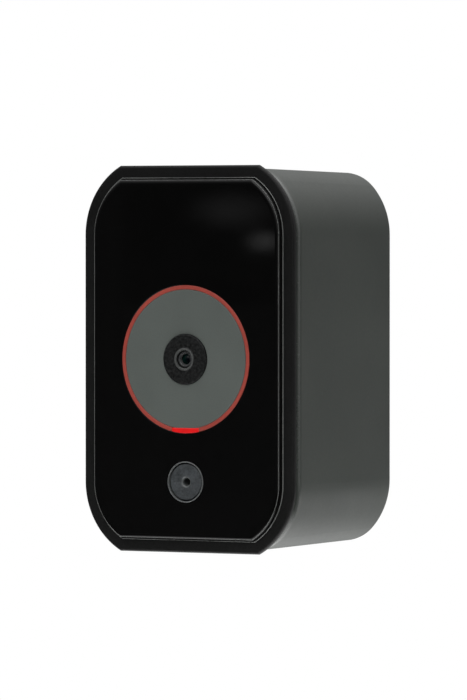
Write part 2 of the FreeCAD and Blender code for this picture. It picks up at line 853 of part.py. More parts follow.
def make_power():
    """Battery pack on its tray, and the power board with its parts and wire terminals."""
    holes = [
        rod(f"tray_hole_{n}", s * d.post_x, u * d.post_z, (25, 26.6), d.post_r)
        for n, (s, u) in enumerate(SIDES)
    ]
    slab = box("tray_slab", (-27, 27), (25, 26.6), (-31.5, 38))
    relief = box("tray_relief", (-16, 16), (25, 26.6), (-26, -2))
    node(cut("tray_solid", slab, relief, *holes), "battery_tray")
    cell = box("cell_block", (-17, 17), (14.5, 25), (1, 37))
    node(round_edges("cell_solid", cell, 2.5, is_upright), "battery")

    rear = d.power_board
    blank = box("power_blank", (-17, 17), (rear, rear + d.board_thick), (-35, -3))
    bores = [
        rod(f"power_hole_{n}", s * d.terminal_x, d.terminal_z, (rear, rear + d.board_thick), 1.7)
        for n, s in enumerate((-1, 1))
    ]
    node(cut("power_pcb", blank, *bores), "power_board")
    front = rear + d.board_thick
    parts_on = [
        box("choke", (-5, 5), (front, front + 5), (-15, -5)),
        rod("capacitor_left", -12, -29, (front, front + 9), 4),
        rod("capacitor_right", 12, -29, (front, front + 9), 4),
        box("bridge", (-4, 4), (front, front + 2.5), (-32, -26)),
    ]
    node(group("power_parts_set", parts_on), "power_parts")
    posts = []
    for number, side in enumerate((-1, 1)):
        x = side * d.terminal_x
        barrel = rod(f"terminal_post_{number}", x, d.terminal_z, (d.back_wall_rear, rear), d.terminal_r)
        spigot = rod(f"terminal_spigot_{number}", x, d.terminal_z, (rear, front), 1.7)
        tap = rod(f"terminal_tap_{number}", x, d.terminal_z, (d.back_wall_rear, rear + 0.5), 1.4)
        posts.append(cut(f"terminal_bush_{number}", fuse(f"terminal_raw_{number}", barrel, spigot), tap))
    node(group("terminal_post_set", posts), "terminal_posts")
    plates, screws = [], []
    for number, side in enumerate((-1, 1)):
        middle = side * d.terminal_x
        clamp = box(
            f"clamp_{number}",
            (middle - 4.5, middle + 4.5),
            (d.back_wall_rear - 0.8, d.back_wall_rear),
            (d.terminal_z - 4.5, d.terminal_z + 4.5),
        )
        clamp_depth = (d.back_wall_rear - 0.8, d.back_wall_rear)
        eye = rod(f"clamp_eye_{number}", middle, d.terminal_z, clamp_depth, 1.5)
        plates.append(cut(f"clamp_plate_{number}", clamp, eye))
        screws.append(
            screw(
                f"terminal_screw_{number}",
                middle,
                d.terminal_z,
                d.back_wall_rear - 0.8,
                rear - 0.5,
                1.4,
                3.4,
                1.8,
                drive=1.5,
            )
        )
    node(group("clamp_set", plates), "terminal_clamps")
    node(group("terminal_screw_set", screws), "terminal_screws")


def is_upright(edge):
    """Whether an edge runs straight up and down."""
    ends = [v.Point for v in edge.Vertexes]
    return len(ends) == 2 and abs(ends[0].z - ends[1].z) > 10


def make_speaker():
    """The loudspeaker, facing down over the slots in the case, with its foam ring."""
    depth = d.speaker_depth
    basket = upright("speaker_basket", 0, depth, (-46.6, -42.6), d.speaker_r)
    magnet = upright("speaker_magnet", 0, depth, (-42.6, -38.2), 6)
    hollow = upright("speaker_hollow", 0, depth, (-46.6, -45.6), 9.4)
    node(cut("speaker_frame_solid", fuse("speaker_raw", basket, magnet), hollow), "speaker_frame")
    cone = doc.addObject("Part::Cone", "cone_solid")
    bind(cone, Radius1=9.2, Radius2=3.5, Height=0.9)
    place(cone, 0, -depth, -46.5)
    node(cone, "speaker_cone")
    ring = upright("speaker_ring", 0, depth, (-49.8, -46.6), d.speaker_r)
    bore = upright("speaker_ring_bore", 0, depth, (-49.8, -46.6), 8.9)
    node(cut("speaker_foam", ring, bore), "speaker_foam")


# ---------------------------------------------------------------- fixings and bracket


def make_screws():
    """The screws that hold the case to the chassis and the chassis to the bezel."""
    case_screws = [
        screw(f"case_screw_{n}", s * d.post_x, u * d.post_z, d.back_wall_rear, 21, 1.25, 2.9, 1.8, 1.2)
        for n, (s, u) in enumerate(SIDES)
    ]
    node(group("case_screw_set", case_screws), "case_screws")
    rear = d.chassis_rear
    bezel_screws = [
        screw(f"bezel_screw_{n}", s * d.boss_x, u * d.boss_z, rear, rear + 8.5, 1.0, 2.2, 1.5)
        for n, (s, u) in enumerate(SIDES)
    ]
    node(group("bezel_screw_set", bezel_screws), "bezel_screws")


def make_bracket():
    """The steel wall bracket: plate, wiring window, two hooks at the top and a tapped tab below."""
    pitch = 0.5 * d.wall_hole_pitch
    slab = plate(
        "bracket_slab",
        (0, d.bracket_thick),
        d.overhang + d.draft + d.wall + d.bracket_gap,
        holes=((0, pitch, d.wall_hole_r), (0, -pitch, d.wall_hole_r)),
    )
    solids, holes = [], []
    for number, (near_x, far_x) in enumerate(((d.hook_near, d.hook_far), (-d.hook_far, -d.hook_near))):
        solids.append(box(f"hook_leg_{number}", (near_x, far_x), (d.bracket_thick, 6.4), (34, 35.7)))
        solids.append(box(f"hook_lip_{number}", (near_x, far_x), (4.8, 6.4), (35.7, 38.6)))
    solids.append(box("lock_tab", (-7, 7), (d.bracket_thick, 6.8), (-48.6, -45.8)))
    across, up = (-d.window_half, d.window_half), (d.window_low, d.window_top)
    holes.append(box("wire_window", across, (0, d.bracket_thick), up))
    holes.append(upright("lock_tap", 0, d.lock_depth, (-48.6, -45.8), d.lock_r))
    node(cut("bracket_solid", fuse("bracket_raw", slab, *solids), *holes), "wall_bracket")
    shank = upright("lock_shank", 0, d.lock_depth, (-50.4, -44.5), d.lock_r)
    head = upright("lock_head", 0, d.lock_depth, (-51.9, -50.4), 2.5)
    recess = upright("lock_recess", 0, d.lock_depth, (-51.9, -51), 1.1)
    node(cut("lock_solid", fuse("lock_raw", shank, head), recess), "security_screw")


def export():
    """Checks every object and every sub-part, then writes one STEP file for each sub-part."""
    doc.recompute()
    failed = [o.Label for o in doc.Objects if {"Invalid", "Error"} & set(o.State)]
    if failed:
        raise RuntimeError(f"objects failed to recompute: {failed}")
    for thing in nodes:
        if thing.Shape.isNull() or not thing.Shape.isValid():
            raise RuntimeError(f"{thing.Label} has no valid shape")
    os.makedirs("parts", exist_ok=True)
    for thing in nodes:
        thing.Shape.exportStep(f"parts/{thing.Label}.step")
        print(f"{thing.Label}: {len(thing.Shape.Solids)} solids, {thing.Shape.Volume:.1f} mm3")


make_housing()
make_bezel()
make_face()
make_ring_light()
make_lens_nose()
make_lens()
make_camera_board()
make_button()
make_front_board()
make_chassis()
make_main_board()
make_power()
make_speaker()
make_screws()
make_bracket()
export()
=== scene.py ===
"""Looks of the video doorbell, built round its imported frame.

Every length is in metres in the frame's own axes: +Z up, the wall is the plane Y = 0 and the face
looks along -Y. A "depth" is the distance from the wall towards the face, so it lies at Y = -depth.
"""

import logging
import math
from dataclasses import dataclass, field
from enum import Enum
from typing import Callable, Dict, Iterable, List, Optional, Sequence, Tuple, Union

import bmesh
import bpy
import numpy as np
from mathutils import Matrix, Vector


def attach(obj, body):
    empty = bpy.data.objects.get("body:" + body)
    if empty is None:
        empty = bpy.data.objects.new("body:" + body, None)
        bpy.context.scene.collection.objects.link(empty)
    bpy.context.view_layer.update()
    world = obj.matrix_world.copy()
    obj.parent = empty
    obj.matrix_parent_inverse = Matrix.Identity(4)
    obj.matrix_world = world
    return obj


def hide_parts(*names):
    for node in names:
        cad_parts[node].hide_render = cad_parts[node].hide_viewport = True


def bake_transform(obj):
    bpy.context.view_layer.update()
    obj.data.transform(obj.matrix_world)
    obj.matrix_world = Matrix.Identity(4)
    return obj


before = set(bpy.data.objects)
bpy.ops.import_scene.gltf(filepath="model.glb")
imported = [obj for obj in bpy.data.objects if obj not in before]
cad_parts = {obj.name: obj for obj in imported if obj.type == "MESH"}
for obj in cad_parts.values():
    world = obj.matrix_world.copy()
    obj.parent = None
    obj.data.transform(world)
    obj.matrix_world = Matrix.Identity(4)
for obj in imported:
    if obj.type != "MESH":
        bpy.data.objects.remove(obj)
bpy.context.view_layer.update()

Pair = Tuple[float, float]
Point = Tuple[float, float, float]
Rgb = Tuple[float, float, float]
Value = Union[bpy.types.NodeSocket, float, Rgb]
Section = Sequence[Point]
MM = 0.001
WHITE: Rgb = (1.0, 1.0, 1.0)
BLACK: Rgb = (0.0, 0.0, 0.0)
LOG = logging.getLogger("doorbell")


def srgb(red: int, green: int, blue: int) -> Rgb:
    """Turns a display colour into linear light.

    Args:
        red: Red, from 0 to 255.
        green: Green, from 0 to 255.
        blue: Blue, from 0 to 255.

    Returns:
        The same colour in linear light, each part from 0 to 1.
    """
    parts = np.array((red, green, blue)) / 255.0
    linear = np.where(parts <= 0.04045, parts / 12.92, ((parts + 0.055) / 1.055) ** 2.4)
    return tuple(float(part) for part in linear)


class Body(Enum):
    """The rigid bodies that a piece can ride on."""

    CASE = "doorbell"
    BUTTON = "call_button"


# ------------------------------------------------------------------ finishes


class Tree:
    """The node tree of a material or a world, with short ways to add and join nodes."""

    def __init__(self, owner: Union[bpy.types.Material, bpy.types.World]) -> None:
        """Starts an empty tree with an output.

        Args:
            owner: The material or the world that the tree is for.
        """
        self.owner = owner
        self.owner.use_nodes = True
        self.nodes = owner.node_tree.nodes
        self.links = owner.node_tree.links
        self.nodes.clear()
        kind = "World" if isinstance(owner, bpy.types.World) else "Material"
        self.output = self.add(f"Output{kind}")
        self.coordinates = self.add("TexCoord").outputs
        self.place = self.coordinates["Object"]

    def add(
        self, kind: str, settings: Optional[Dict[str, Union[str, int]]] = None, **sockets: Value
    ) -> bpy.types.Node:
        """Adds a node, sets its properties and fills its sockets.

        Args:
            kind: The node type's name after "ShaderNode".
            settings: Properties of the node itself.
            **sockets: Socket names, spaces written as "_", to a value or an output.

        Returns:
            The new node.
        """
        node = self.nodes.new(f"ShaderNode{kind}")
        for key, value in (settings or {}).items():
            setattr(node, key, value)
        for key, value in sockets.items():
            self.fill(node.inputs[key.replace("_", " ")], value)
        return node

    def fill(self, socket: bpy.types.NodeSocket, value: Value) -> None:
        """Links an output to a socket, or sets the socket's own value.

        Args:
            socket: The socket.
            value: An output, a number or a colour.
        """
        if isinstance(value, bpy.types.NodeSocket):
            self.links.new(value, socket)
        elif isinstance(value, tuple) and socket.type == "RGBA":
            socket.default_value = (*value[:3], 1.0)
        else:
            socket.default_value = value

    def stretched(self, stretch: Point) -> bpy.types.NodeSocket:
        """The object's own coordinates, scaled along each axis."""
        return self.add("Mapping", Vector=self.place, Scale=stretch).outputs["Vector"]

    def noise(
        self, size: float, detail: float = 3.0, vector: Optional[bpy.types.NodeSocket] = None
    ) -> bpy.types.NodeSocket:
        """Soft noise with patches of one size.

        Args:
            size: The size of a patch, in metres.
            detail: How many finer octaves are added.
            vector: Where it is read; the object's own coordinates by default.

        Returns:
            The noise value, from 0 to 1.
        """
        made = self.add("TexNoise", Vector=vector or self.place, Scale=1.0 / size, Detail=detail)
        return made.outputs["Fac"]

    def away(self, offset: Point, scale: Point) -> bpy.types.NodeSocket:
        """The distance from a point or an axis, in the object's own coordinates.

        Args:
            offset: What is added to the coordinates after they are scaled.
            scale: The scale along each axis; 0 leaves an axis out.

        Returns:
            The length of the scaled and moved coordinates.
        """
        moved = self.add("Mapping", Vector=self.place, Location=offset, Scale=scale)
        length = self.add("VectorMath", {"operation": "LENGTH"}, Vector=moved.outputs["Vector"])
        return length.outputs["Value"]

    def cells(self, size: float) -> bpy.types.NodeSocket:
        """The distance field of scattered cells of one size."""
        return self.add("TexVoronoi", Vector=self.place, Scale=1.0 / size).outputs["Distance"]

    def spread(
        self, value: Value, low: float, high: float, source: Pair = (0.3, 0.7)
    ) -> bpy.types.NodeSocket:
        """Carries a value from one range to another and clamps it there.

        Args:
            value: The value.
            low: What the start of the range becomes.
            high: What its end becomes.
            source: The range's start and end.

        Returns:
            The new value.
        """
        made = self.add(
            "MapRange",
            Value=value,
            From_Min=source[0],
            From_Max=source[1],
            To_Min=low,
            To_Max=high,
        )
        return made.outputs["Result"]

    def maths(self, operation: str, first: Value, second: Value = 0.0) -> bpy.types.NodeSocket:
        """Works out one sum of two values.

        Args:
            operation: The sum's name.
            first: The first value.
            second: The second value.

        Returns:
            The result.
        """
        made = self.add("Math", {"operation": operation})
        self.fill(made.inputs[0], first)
        self.fill(made.inputs[1], second)
        return made.outputs[0]

    def blend(self, amount: Value, first: Value, second: Value) -> bpy.types.NodeSocket:
        """Mixes two colours.

        Args:
            amount: How much of the second there is, from 0 to 1.
            first: The first colour.
            second: The second colour.

        Returns:
            The mixed colour.
        """
        made = self.add("Mix", {"data_type": "RGBA"})
        for number, value in ((0, amount), (6, first), (7, second)):
            self.fill(made.inputs[number], value)
        return made.outputs[2]

    def mixed(
        self, amount: Value, first: bpy.types.NodeSocket, second: bpy.types.NodeSocket
    ) -> bpy.types.NodeSocket:
        """Mixes two shaders.

        Args:
            amount: How much of the second there is, from 0 to 1.
            first: The first shader.
            second: The second shader.

        Returns:
            The mixed shader.
        """
        made = self.add("MixShader", Fac=amount)
        self.links.new(first, made.inputs[1])
        self.links.new(second, made.inputs[2])
        return made.outputs["Shader"]

    def edge(self, radius: float) -> bpy.types.NodeSocket:
        """How near an outer edge is, from the true normal and one that is rounded over a radius.

        Args:
            radius: The radius, in metres.

        Returns:
            1 at an edge and 0 away from it.
        """
        rounded = self.add("Bevel", {"samples": 4}, Radius=radius).outputs["Normal"]
        made = self.add("VectorMath", {"operation": "DOT_PRODUCT"})
        self.fill(made.inputs[0], rounded)
        self.fill(made.inputs[1], self.add("NewGeometry").outputs["Normal"])
        return self.spread(made.outputs["Value"], 1.0, 0.0, source=(0.75, 0.985))

    def finish(self, surface: bpy.types.NodeSocket) -> bpy.types.ID:
        """Joins the surface to the output and hands the material or the world over."""
        self.links.new(surface, self.output.inputs["Surface"])
        return self.owner


@dataclass(frozen=True)
class Finish:
    """A moulded or coated surface: drifting colour, fine grain, uneven gloss and edges lightened
    partly as rubbing, partly as a painted highlight.

    Attributes:
        name: The material's name.
        colour: The main colour in linear light.
        drift: The colour that patches of the surface lean towards.
        roughness: The mean roughness.
        uneven: How far the roughness wanders either way.
        grain: The size of the fine texture, in metres.
        relief: The height of the fine texture, in metres.
        patch: The size of the colour patches, in metres.
        mottle: How strong the fine mottle in the colour is, from 0 to 1.
        patchy: How strong the soft patches in the colour are, from 0 to 1.
        wear: How strongly edges are lightened, as rubbing and as a painted highlight, from 0 to 1.
        wear_width: How far from an edge the lightening reaches, in metres.
        worn_and_highlight_colour: The colour of lightened edges: rubbed edges and a painted edge
            highlight.
        metallic: 1 for bare metal.
        specular: The dielectric reflection level, 0.5 for common plastics.
        coat: The weight of a clear coat.
    """

    name: str
    colour: Rgb
    drift: Rgb
    roughness: float = 0.5
    uneven: float = 0.06
    grain: float = 0.45 * MM
    relief: float = 0.012 * MM
    patch: float = 14 * MM
    mottle: float = 0.5
    patchy: float = 0.6
    wear: float = 0.25
    wear_width: float = 0.35 * MM
    worn_and_highlight_colour: Rgb = (0.22, 0.22, 0.22)
    metallic: float = 0.0
    specular: float = 0.5
    coat: float = 0.0

    def base(self, tree: Tree) -> bpy.types.NodeSocket:
        """The colour before any wear: two colours in soft patches with a fine mottle.

        Args:
            tree: The material's tree.

        Returns:
            The colour.
        """
        patches = tree.spread(tree.noise(self.patch, 4.0), 0.0, 1.0)
        mottle = tree.spread(tree.noise(self.grain * 1.7, 2.0), 0.0, self.mottle)
        mixed = tree.maths("ADD", tree.maths("MULTIPLY", patches, self.patchy), mottle)
        return tree.blend(mixed, self.colour, self.drift)

    def height(self, tree: Tree) -> bpy.types.NodeSocket:
        """The fine relief: a soft grain over small cells.

        Args:
            tree: The material's tree.

        Returns:
            The height at each place, from about 0 to 1.
        """
        grain = tree.noise(self.grain, 5.0)
        pits = tree.spread(tree.cells(self.grain * 1.3), 0.0, 1.0, source=(0.0, 0.6))
        return tree.maths("ADD", grain, tree.maths("MULTIPLY", pits, 0.45))

    def gloss(self, tree: Tree) -> bpy.types.NodeSocket:
        """The roughness: its mean, wandering in patches and in the grain.

        Args:
            tree: The material's tree.

        Returns:
            The roughness.
        """
        slow = tree.noise(self.patch * 0.6, 5.0)
        fast = tree.noise(self.grain * 3.0, 2.0)
        slow, fast = tree.maths("MULTIPLY", slow, 0.6), tree.maths("MULTIPLY", fast, 0.4)
        both = tree.maths("ADD", slow, fast)
        return tree.spread(both, self.roughness - self.uneven, self.roughness + self.uneven)

    def shader(self, tree: Tree) -> bpy.types.Node:
        """The surface shader with every part joined.

        Args:
            tree: The material's tree.

        Returns:
            The shader node.
        """
        colour = self.base(tree)
        # Lightened edges: partly rubbing, partly a painted highlight along the edges.
        if self.wear > 0.0:
            uneven = tree.spread(tree.noise(2.5 * MM), 0.3, 1.0)
            rubbing_and_highlight = tree.maths("MULTIPLY", tree.edge(self.wear_width), uneven)
            colour = tree.blend(tree.maths("MULTIPLY", rubbing_and_highlight, self.wear), colour, self.worn_and_highlight_colour)
        bump = tree.add("Bump", Height=self.height(tree), Distance=self.relief, Strength=1.0)
        made = tree.add("BsdfPrincipled", Base_Color=colour, Roughness=self.gloss(tree))
        made.inputs["Metallic"].default_value = self.metallic
        made.inputs["Specular IOR Level"].default_value = self.specular
        made.inputs["Coat Weight"].default_value = self.coat
        made.inputs["Coat Roughness"].default_value = 0.05
        tree.links.new(bump.outputs["Normal"], made.inputs["Normal"])
        return made

    def material(self) -> bpy.types.Material:
        """Builds the material once and hands the same one back after that.

        Returns:
            The material.
        """
        full_name = f"{self.name}_finish"
        found = bpy.data.materials.get(full_name)
        if found is not None:
            return found
        tree = Tree(bpy.data.materials.new(full_name))
        return tree.finish(self.shader(tree).outputs["BSDF"])


@dataclass(frozen=True)
class Metal(Finish):
    """Bare, plated or brushed metal, with fine marks along one direction.

    Attributes:
        stretch: How the marks are scaled along X, Y and Z; a small value draws them out.
    """

    stretch: Tuple[float, float, float] = (1.0, 0.06, 1.0)
    metallic: float = 1.0
    roughness: float = 0.3
    worn_and_highlight_colour: Rgb = (0.75, 0.75, 0.75)

    def height(self, tree: Tree) -> bpy.types.NodeSocket:
        """The relief: long fine marks with a little grain."""
        marks = tree.noise(self.grain * 0.5, 4.0, tree.stretched(self.stretch))
        return tree.maths("ADD", marks, tree.maths("MULTIPLY", tree.noise(self.grain), 0.3))


@dataclass(frozen=True)
class Gloss(Finish):
    """Polished glass or lacquer over a solid colour, with faint smears and dust."""

    roughness: float = 0.03
    uneven: float = 0.02
    wear: float = 0.0
    relief: float = 0.0008 * MM
    grain: float = 2.0 * MM

    def gloss(self, tree: Tree) -> bpy.types.NodeSocket:
        """The roughness: nearly polished, with wiped smears and a scatter of dust.

        Args:
            tree: The material's tree.

        Returns:
            The roughness.
        """
        smear = tree.noise(9 * MM, 6.0, tree.stretched((1.0, 1.0, 0.35)))
        dust = tree.spread(tree.cells(1.6 * MM), 0.25, 0.0, source=(0.02, 0.09))
        wiped = tree.spread(smear, self.roughness, self.roughness + self.uneven)
        return tree.maths("ADD", wiped, tree.maths("MULTIPLY", dust, 0.5))


@dataclass(frozen=True)
class Glow(Finish):
    """A moulded light guide that is lit from behind.

    Attributes:
        light: The light's colour.
        power: How strongly it glows.
    """

    light: Rgb = (1.0, 0.0, 0.0)
    power: float = 0.0

    def shader(self, tree: Tree) -> bpy.types.Node:
        """The moulded surface with its own light, uneven over a few millimetres.

        Args:
            tree: The material's tree.

        Returns:
            The shader node.
        """
        made = super().shader(tree)
        level = tree.spread(tree.noise(3.5 * MM), 0.82, 1.0)
        tree.fill(made.inputs["Emission Color"], tree.blend(level, BLACK, self.light))
        made.inputs["Emission Strength"].default_value = self.power
        return made


@dataclass(frozen=True)
class Banded(Finish):
    """A moulded surface with a lighter band round an axis square to the face: a painted highlight.

    Attributes:
        axis_height: The height of the axis, in metres.
        band: The radii where the band starts and ends, in metres.
        soft: How far the band's edges run out, in metres.
        painted_highlight: The band's colour, a painted highlight.
    """

    axis_height: float = 0.0
    band: Pair = (2.5 * MM, 3.1 * MM)
    soft: float = 0.12 * MM
    painted_highlight: Rgb = (0.2, 0.2, 0.2)

    def base(self, tree: Tree) -> bpy.types.NodeSocket:
        """The mottled colour, which goes over to the painted highlight's colour within the band.

        Args:
            tree: The material's tree.

        Returns:
            The colour.
        """
        inner, outer = self.band
        radius = tree.away((0.0, 0.0, -self.axis_height), (1.0, 0.0, 1.0))
        rising = tree.spread(radius, 0.0, 1.0, source=(inner - self.soft, inner))
        falling = tree.spread(radius, 1.0, 0.0, source=(outer, outer + self.soft))
        within = tree.maths("MULTIPLY", rising, falling)
        # Painted highlight: the band's lighter colour over the mottle.
        return tree.blend(within, super().base(tree), self.painted_highlight)


@dataclass(frozen=True)
class Buffed(Finish):
    """A satin surface that is buffed smoother towards the face.

    Attributes:
        start: The depth where the smoother part starts, in metres.
        full: The depth from which it is fully smooth.
        smooth: The roughness there.
    """

    start: float = 53.6 * MM
    full: float = 55.2 * MM
    smooth: float = 0.26

    def gloss(self, tree: Tree) -> bpy.types.NodeSocket:
        """The satin roughness, which goes over to the smoother one between the two depths.

        Args:
            tree: The material's tree.

        Returns:
            The roughness.
        """
        parts = tree.add("SeparateXYZ", Vector=tree.place)
        depth = tree.maths("MULTIPLY", parts.outputs["Y"], -1.0)
        share = tree.spread(depth, 0.0, 1.0, source=(self.start, self.full))
        drop = tree.maths("MULTIPLY", share, self.roughness - self.smooth)
        return tree.maths("SUBTRACT", super().gloss(tree), drop)


@dataclass(frozen=True)
class Circuit(Finish):
    """Solder mask over copper tracks.

    Attributes:
        track: The mask's colour over a track.
        fine: How many tracks there are in a metre.
    """

    track: Rgb = (0.02, 0.16, 0.06)
    fine: float = 260.0

    def base(self, tree: Tree) -> bpy.types.NodeSocket:
        """The mask's green, lighter where a track runs under it.

        Args:
            tree: The material's tree.

        Returns:
            The colour.
        """
        tracks = tree.add("TexBrick", Vector=tree.place, Scale=self.fine)
        weave = tree.spread(tracks.outputs["Fac"], 0.0, 0.8, source=(0.0, 1.0))
        return tree.blend(weave, super().base(tree), self.track)


@dataclass(frozen=True)
class Coated(Finish):
    """Lens glass with a coating whose tint turns from violet to green towards the rim.

    Attributes:
        rim: The tint where the surface turns away.
    """

    rim: Rgb = (0.0, 0.05, 0.035)

    def base(self, tree: Tree) -> bpy.types.NodeSocket:
        """The coating's tint by how the surface faces, over a faint mottle."""
        facing = tree.add("LayerWeight", Blend=0.35).outputs["Facing"]
        return tree.blend(facing, super().base(tree), self.rim)


def plastic(name: str, shade: Rgb, **settings: float) -> Finish:
    """A plain moulded plastic whose patches are a little lighter than its main colour."""
    lighter = tuple(min(1.0, part * 1.35 + 0.002) for part in shade)
    return Finish(name, shade, lighter, **settings)


def plated(name: str, shade: Rgb, **settings: float) -> Metal:
    """A plated metal whose patches are a little darker than its main colour."""
    return Metal(name, shade, tuple(part * 0.75 for part in shade), **settings)


class Finishes:
    """Every finish of the doorbell, by the record's slot or by piece."""

    case = Buffed(
        "case_satin",
        srgb(48, 52, 49),
        srgb(56, 60, 56),
        roughness=0.46,
        uneven=0.05,
        grain=0.32 * MM,
        relief=0.006 * MM,
        patch=22 * MM,
        wear=0.12,
        worn_and_highlight_colour=srgb(130, 133, 130),
    )
    bezel = Finish(
        "bezel_black",
        srgb(8, 9, 8),
        srgb(22, 22, 22),
        roughness=0.52,
        uneven=0.08,
        grain=0.38 * MM,
        relief=0.02 * MM,
        mottle=0.8,
        wear=0.2,
        worn_and_highlight_colour=srgb(60, 60, 60),
        specular=0.22,
    )
    # Light grey for the thin lines on the bezel's inner edge and on the glass rim: painted
    # highlights.
    highlight_line = Finish(
        "painted_highlight_grey",
        srgb(104, 106, 104),
        srgb(128, 130, 128),
        roughness=0.28,
        grain=0.3 * MM,
        relief=0.003 * MM,
        wear=0.0,
    )
    glass = Gloss("face_glass", srgb(10, 10, 10), srgb(13, 13, 13), specular=0.22)
    ring = Glow(
        "ring_red",
        srgb(140, 60, 52),
        srgb(160, 74, 64),
        roughness=0.4,
        light=(1.0, 0.12, 0.08),
        power=0.09,
        wear=0.0,
    )
    status = Glow(
        "status_red",
        srgb(150, 6, 9),
        srgb(170, 12, 14),
        roughness=0.45,
        light=(1.0, 0.003, 0.004),
        power=0.5,
        wear=0.0,
    )
    plate = Finish(
        "plate_grey",
        srgb(95, 101, 97),
        srgb(103, 109, 105),
        roughness=0.52,
        grain=0.25 * MM,
        relief=0.004 * MM,
        wear=0.1,
        specular=0.35,
    )
    nose = Banded(
        "nose_black",
        srgb(0, 1, 1),
        srgb(39, 40, 40),
        roughness=0.55,
        uneven=0.12,
        grain=0.44 * MM,
        relief=0.06 * MM,
        patch=1.2 * MM,
        mottle=1.0,
        patchy=0.0,
        wear=0.2,
        worn_and_highlight_colour=srgb(60, 60, 62),
        specular=0.2,
        # The lighter band on the lip is a painted highlight.
        band=(2.55 * MM, 3.05 * MM),
        painted_highlight=srgb(84, 86, 85),
    )
    barrel = Finish(
        "barrel_black",
        srgb(58, 59, 60),
        srgb(72, 73, 74),
        roughness=0.38,
        grain=0.2 * MM,
        relief=0.004 * MM,
        wear=0.3,
    )
    lens = Coated(
        "lens_glass",
        srgb(5, 4, 12),
        srgb(8, 6, 16),
        roughness=0.08,
        uneven=0.02,
        wear=0.0,
        specular=0.12,
    )
    guide = Finish(
        "rim_bright",
        srgb(90, 93, 93),
        srgb(118, 121, 121),
        roughness=0.32,
        grain=0.3 * MM,
        relief=0.004 * MM,
        patch=3 * MM,
        wear=0.0,
    )
    cap = Banded(
        "cap_grey",
        srgb(34, 38, 39),
        srgb(74, 78, 81),
        roughness=0.5,
        uneven=0.1,
        grain=0.36 * MM,
        relief=0.04 * MM,
        patch=2 * MM,
        mottle=0.6,
        wear=0.2,
        worn_and_highlight_colour=srgb(110, 112, 114),
        axis_height=-34.2 * MM,
        # The lighter band at the sound hole's chamfer is a painted highlight.
        band=(1.1 * MM, 1.45 * MM),
        painted_highlight=srgb(92, 96, 96),
    )
    screw = plated("screw_zinc", srgb(176, 178, 180), roughness=0.3, grain=0.25 * MM)
    dark_screw = plated("screw_black", srgb(52, 52, 54), roughness=0.38, grain=0.25 * MM, wear=0.4)
    bracket = Finish(
        "bracket_steel",
        srgb(34, 35, 36),
        srgb(48, 49, 50),
        roughness=0.62,
        uneven=0.1,
        grain=0.55 * MM,
        relief=0.03 * MM,
        wear=0.5,
        worn_and_highlight_colour=srgb(140, 140, 142),
    )
    rubber = plastic("seal_rubber", srgb(18, 18, 18), roughness=0.8, wear=0.1)
    foam = plastic(
        "foam_black",
        srgb(26, 26, 27),
        roughness=0.95,
        grain=0.7 * MM,
        relief=0.15 * MM,
        wear=0.0,
    )
    moulding = plastic("moulding_black", srgb(30, 30, 31), roughness=0.5)
    chip = plastic("chip_black", srgb(22, 22, 23), roughness=0.6, wear=0.2)
    sensor = Coated(
        "sensor_dark",
        srgb(30, 24, 52),
        srgb(38, 60, 66),
        roughness=0.1,
        wear=0.0,
        coat=0.6,
    )
    board = Circuit(
        "board_green",
        srgb(10, 72, 36),
        srgb(14, 84, 44),
        roughness=0.32,
        track=srgb(20, 108, 58),
    )
    film = plastic("ribbon_amber", srgb(180, 110, 30), roughness=0.3, wear=0.1, coat=0.4)
    ivory = plastic("socket_ivory", srgb(210, 204, 184), roughness=0.5)
    silicone = plastic("dome_clear", srgb(190, 192, 192), roughness=0.45, wear=0.0)
    carbon = plastic("carbon_black", srgb(16, 16, 16), roughness=0.85, wear=0.0)
    tin = plated("tin_bright", srgb(196, 197, 196), roughness=0.34)
    lamp = plastic("led_white", srgb(236, 232, 206), roughness=0.2, wear=0.0, coat=0.7)
    copper = plated("aerial_copper", srgb(186, 120, 84), roughness=0.3)
    wrap = plastic("cell_wrap", srgb(176, 184, 196), roughness=0.28, wear=0.1, coat=0.5)
    power = plastic("power_mix", srgb(40, 42, 52), roughness=0.32, wear=0.2, coat=0.3)
    brass = plated("brass_post", srgb(196, 160, 88), roughness=0.28)
    steel = plated("speaker_steel", srgb(96, 97, 98), roughness=0.36)
    paper = plastic(
        "cone_paper",
        srgb(34, 34, 35),
        roughness=0.9,
        grain=0.6 * MM,
        relief=0.06 * MM,
        wear=0.0,
    )
    filter_coat = Coated(
        "filter_glass",
        srgb(96, 40, 60),
        srgb(60, 90, 96),
        roughness=0.04,
        wear=0.0,
        coat=1.0,
    )


